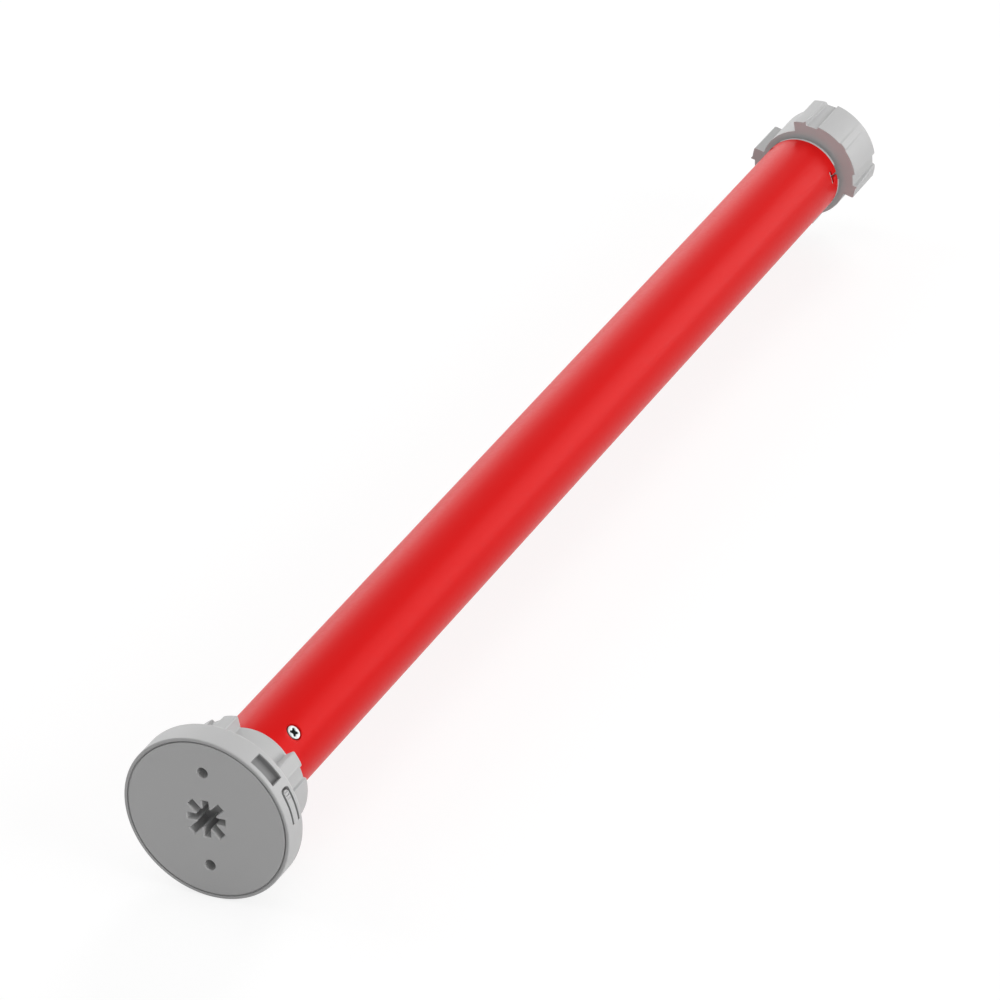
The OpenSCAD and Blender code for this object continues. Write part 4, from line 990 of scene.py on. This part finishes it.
class BM_OT_flanges(bpy.types.Operator):
    """Turns the two rings that close the tube, with the drive end's key and notches"""
    bl_idname = "blind_motor.flanges"
    bl_label = "Tube Flanges"

    def execute(self, context):
        t = context.scene.blind_motor_tube
        start, end = TUBE_LOW.x, TUBE_HIGH.x
        fit_r = t.tube_r - t.tube_wall - FIT
        neck_r = context.scene.blind_motor_head.journal_bore_r - FIT
        plug_low, plug_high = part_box("tube_plug")
        plug = turned("tube_plug_ring", [
            (plug_low.x, PLUG_BORE_R), (plug_low.x, neck_r),
            (HEAD_HIGH.x, neck_r), (HEAD_HIGH.x, t.tube_r, 0.15 * MM),
            (start, t.tube_r, 0.1 * MM), (start, fit_r),
            (plug_high.x, fit_r, 0.3 * MM), (plug_high.x, PLUG_BORE_R)], n=4)
        for a in round_from(t.screw_a, SCREWS):
            # A hole for the screw's shank, wider at its mouth
            hole = turned("screw_hole", [
                (-6 * MM, 0), (-6 * MM, DRILL_R), (-0.9 * MM, DRILL_R),
                (-0.6 * MM, MOUTH_R), (-0.6 * MM, 0)], 48)
            joined(plug, placed(hole, screw_seat(t, a)))
        finished(plug, "motor", "light_grey_plastic", "tube_plug")
        ring_x, out = (p.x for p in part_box("end_flange"))
        brim, step_r = end + BRIM_SHARE * (out - end), t.tube_r - BRIM_W
        ring = turned("end_ring", [
            (ring_x, FLANGE_BORE_R), (ring_x, fit_r, 0.3 * MM),
            (end, fit_r), (end, t.tube_r, 0.08 * MM),
            (brim, t.tube_r, 0.15 * MM), (brim, step_r),
            (out, step_r), (out, FLANGE_BORE_R)], n=4)
        joined(ring, wedge("key_form", spread(t.key_a, 2 * t.key_half), end - t.key_len,
                           (fit_r - DEEP_LAP, t.tube_r + t.key_proud),
                           t.key_len + t.flange_t), "UNION")
        for a in round_from(t.slit_a, SLITS):
            self.slit_pad(ring, t, a, fit_r - GROOVE_DEPTH)
            joined(ring, wedge("notch_cut", spread(a, 2 * t.notch_half), end - FIT,
                               (fit_r - NOTCH_DEPTH, t.tube_r + OVER), t.flange_t + OVER))
        rounded(ring, 0.07 * MM)
        finished(ring, "motor", "light_grey_plastic", "end_flange")
        return {"FINISHED"}

    def slit_pad(self, ring, t, a, low):
        """Hollows the flange under a slit, and raises a pad in the near part of its bar."""
        cut_slit(ring, t, a, LAP / 2, TUBE_HIGH.x, (low, t.tube_r))
        foot = TUBE_HIGH.x - t.slit_stem
        joined(ring, block("bar_pad", a, spread(0, t.slit_bar - 2 * PAD_GAP),
                           (foot - t.slit_bar_w, foot - PAD_SHARE * t.slit_bar_w),
                           (low - OVER, t.tube_r - t.pad_drop)), "UNION")


class BM_OT_inner(bpy.types.Operator):
    """Gives the CAD pieces that stay their finishes"""
    bl_idname = "blind_motor.inner"
    bl_label = "Inner Pieces"

    def execute(self, context):
        slots = {p["node"]: p["material_slot"] for p in frame["record"]["subparts"]}
        for name, obj in frame["nodes"].items():
            finish = finish_of(slots[name])
            if not obj.data.materials:
                obj.data.materials.append(finish)
            for i in range(len(obj.material_slots)):
                obj.material_slots[i].material = finish
        return {"FINISHED"}


# Stage

WHITE = (1, 1, 1, 1)
MIDDLE = (0.2, 0, 0)  # Near the motor's middle
# Each lamp's name, place, target, diameter and the setting that holds its power
LAMPS = (
    ("overhead_lamp", (0.1, -0.1, 1.3), MIDDLE, 1.2, "overhead"),
    ("right_lamp", (0.05, -1.45, 0.42), MIDDLE, 1.2, "right"),
    ("left_lamp", (0.2, 1.2, 0.7), MIDDLE, 1.0, "left"),
    ("back_lamp", (2.3, 0.2, 1.3), (0.1, 0, 0), 1.2, "behind"),
)
# Where the left and the right glow lie, and the cosines off that way where they end and are full
LEFT_GLOW = ((0.77, 0.58, 0.25), (0.87, 0.96))
RIGHT_GLOW = ((0.77, -0.61, 0.15), (0.85, 0.98))
# Where the camera stands, and the ways of its right side and its back
CAMERA_PLACE = (-1.0866, -0.64868, 0.81457)
CAMERA_RIGHT = (0.43179688, -0.90069, -0.04801)
CAMERA_BACK = (-0.77156738, -0.39642, 0.49754)


def seen_rays(tree):
    """1 for the rays that show a surface as it is: straight, mirrored and through glass."""
    path = node(tree, "ShaderNodeLightPath")
    total = path.outputs["Is Camera Ray"]
    for ray in ("Is Glossy Ray", "Is Transmission Ray"):
        total = node(tree, "ShaderNodeMath", {0: total, 1: path.outputs[ray]},
                     operation="MAXIMUM").outputs[0]
    return total


def by_ray(tree, lit, seen):
    """The shader seen for the rays that show a surface as it is, and lit for the others."""
    return node(tree, "ShaderNodeMixShader", {
        "Fac": seen_rays(tree), 1: lit, 2: seen}).outputs["Shader"]


class BM_OT_stage(bpy.types.Operator):
    """Lays the floor, hangs the lamps and sets the camera at the picture's view"""
    bl_idname = "blind_motor.stage"
    bl_label = "Stage"

    def execute(self, context):
        g = context.scene.blind_motor_stage
        self.floor()
        self.lamps(g)
        self.world(g)
        self.camera(g)
        context.scene.view_settings.view_transform = "Standard"
        return {"FINISHED"}

    def floor(self):
        bpy.ops.object.select_all(action="DESELECT")
        bpy.ops.mesh.primitive_plane_add(size=12, location=(0.2, 0, CAD_LOW.z - FIT))
        floor = bpy.context.object
        floor.name = "floor"
        bpy.ops.object.transform_apply(location=True, rotation=True, scale=True)
        finish, tree, shader, _ = new_finish("floor_white")
        feed(tree, shader, {"Base Color": (0.6, 0.6, 0.6, 1), "Roughness": 0.9,
                            "Specular IOR Level": 0.1})
        pale = node(tree, "ShaderNodeBsdfDiffuse", {"Color": (0.25, 0.25, 0.25, 1)})
        glow = node(tree, "ShaderNodeEmission", {"Strength": 0.8})
        seen = node(tree, "ShaderNodeAddShader", {
            0: pale.outputs["BSDF"], 1: glow.outputs["Emission"]})
        feed(tree, tree.nodes["Material Output"], {
            "Surface": by_ray(tree, shader.outputs["BSDF"], seen.outputs["Shader"])})
        floor.data.materials.append(finish)

    def lamps(self, g):
        for name, place, target, size, setting in LAMPS:
            bpy.ops.object.light_add(type="AREA", location=place)
            lamp = bpy.context.object
            lamp.name = name
            lamp.data.shape = "DISK"
            lamp.data.size = size
            lamp.data.energy = getattr(g, setting)
            lamp.visible_glossy = False
            way = Vector(target) - Vector(place)
            lamp.rotation_euler = way.to_track_quat("-Z", "Y").to_euler()

    def glow(self, tree, place, way, edge, strength):
        """A soft bright patch of the room in the direction way."""
        facing = node(tree, "ShaderNodeVectorMath", {0: place, 1: Vector(way).normalized()},
                      operation="DOT_PRODUCT")
        return node(tree, "ShaderNodeMapRange", {
            "From Min": edge[0], "From Max": edge[1], "To Max": strength,
            "Value": facing.outputs["Value"]}, interpolation_type="SMOOTHSTEP").outputs["Result"]

    def world(self, g):
        world = bpy.data.worlds.new("studio")
        bpy.context.scene.world = world
        world.use_nodes = True
        tree = world.node_tree
        tree.nodes.clear()
        place = node(tree, "ShaderNodeTexCoord").outputs["Generated"]
        both = node(tree, "ShaderNodeMath", {
            0: self.glow(tree, place, *LEFT_GLOW, g.left_glow),
            1: self.glow(tree, place, *RIGHT_GLOW, g.right_glow)})
        total = node(tree, "ShaderNodeMath", {0: both.outputs[0], 1: 1})
        shown = node(tree, "ShaderNodeBackground", {
            "Color": WHITE, "Strength": total.outputs[0]})
        room = node(tree, "ShaderNodeBackground", {"Color": WHITE, "Strength": g.room})
        node(tree, "ShaderNodeOutputWorld", {
            "Surface": by_ray(tree, room.outputs["Background"], shown.outputs["Background"])})

    def camera(self, g):
        right, back = Vector(CAMERA_RIGHT).normalized(), Vector(CAMERA_BACK)
        back = (back - back.dot(right) * right).normalized()
        bpy.ops.object.camera_add(location=CAMERA_PLACE)
        camera = bpy.context.object
        axes = Matrix((right, back.cross(right), back)).transposed()
        camera.rotation_euler = axes.to_euler()
        camera.data.lens = g.lens
        camera.data.sensor_width = 36
        camera.data.clip_end = 50
        bpy.context.scene.camera = camera


STEPS = (BM_OT_rim, BM_OT_face, BM_OT_button, BM_OT_window, BM_OT_crown, BM_OT_wheel,
         BM_OT_tube, BM_OT_screws, BM_OT_flanges, BM_OT_inner, BM_OT_stage)


class BM_PT_panel(bpy.types.Panel):
    """Lists the motor's sizes, finishes and steps"""
    bl_idname = "BM_PT_panel"
    bl_label = "Roller Blind Motor"
    bl_space_type = "VIEW_3D"
    bl_region_type = "UI"
    bl_category = "Blind Motor"

    def draw(self, context):
        for group in SETTINGS:
            box = self.layout.box()
            settings = getattr(context.scene, group)
            for key in settings.bl_rna.properties.keys():
                if key not in ("rna_type", "name"):
                    box.prop(settings, key)
        for step in STEPS:
            self.layout.operator(step.bl_idname)


SETTINGS = {
    "blind_motor_head": BM_HeadSizes,
    "blind_motor_tube": BM_TubeSizes,
    "blind_motor_roller": BM_RollerSizes,
    "blind_motor_finishes": BM_Finishes,
    "blind_motor_stage": BM_StageSettings,
}


def register():
    for group, kind in SETTINGS.items():
        bpy.utils.register_class(kind)
        setattr(bpy.types.Scene, group, PointerProperty(type=kind))
    for step in (*STEPS, BM_PT_panel):
        bpy.utils.register_class(step)


def unregister():
    for step in (*STEPS, BM_PT_panel):
        bpy.utils.unregister_class(step)
    for group, kind in SETTINGS.items():
        delattr(bpy.types.Scene, group)
        bpy.utils.unregister_class(kind)


def main():
    register()
    for step in STEPS:
        space, name = step.bl_idname.split(".")
        getattr(getattr(bpy.ops, space), name)()


if __name__ == "__main__":
    main()
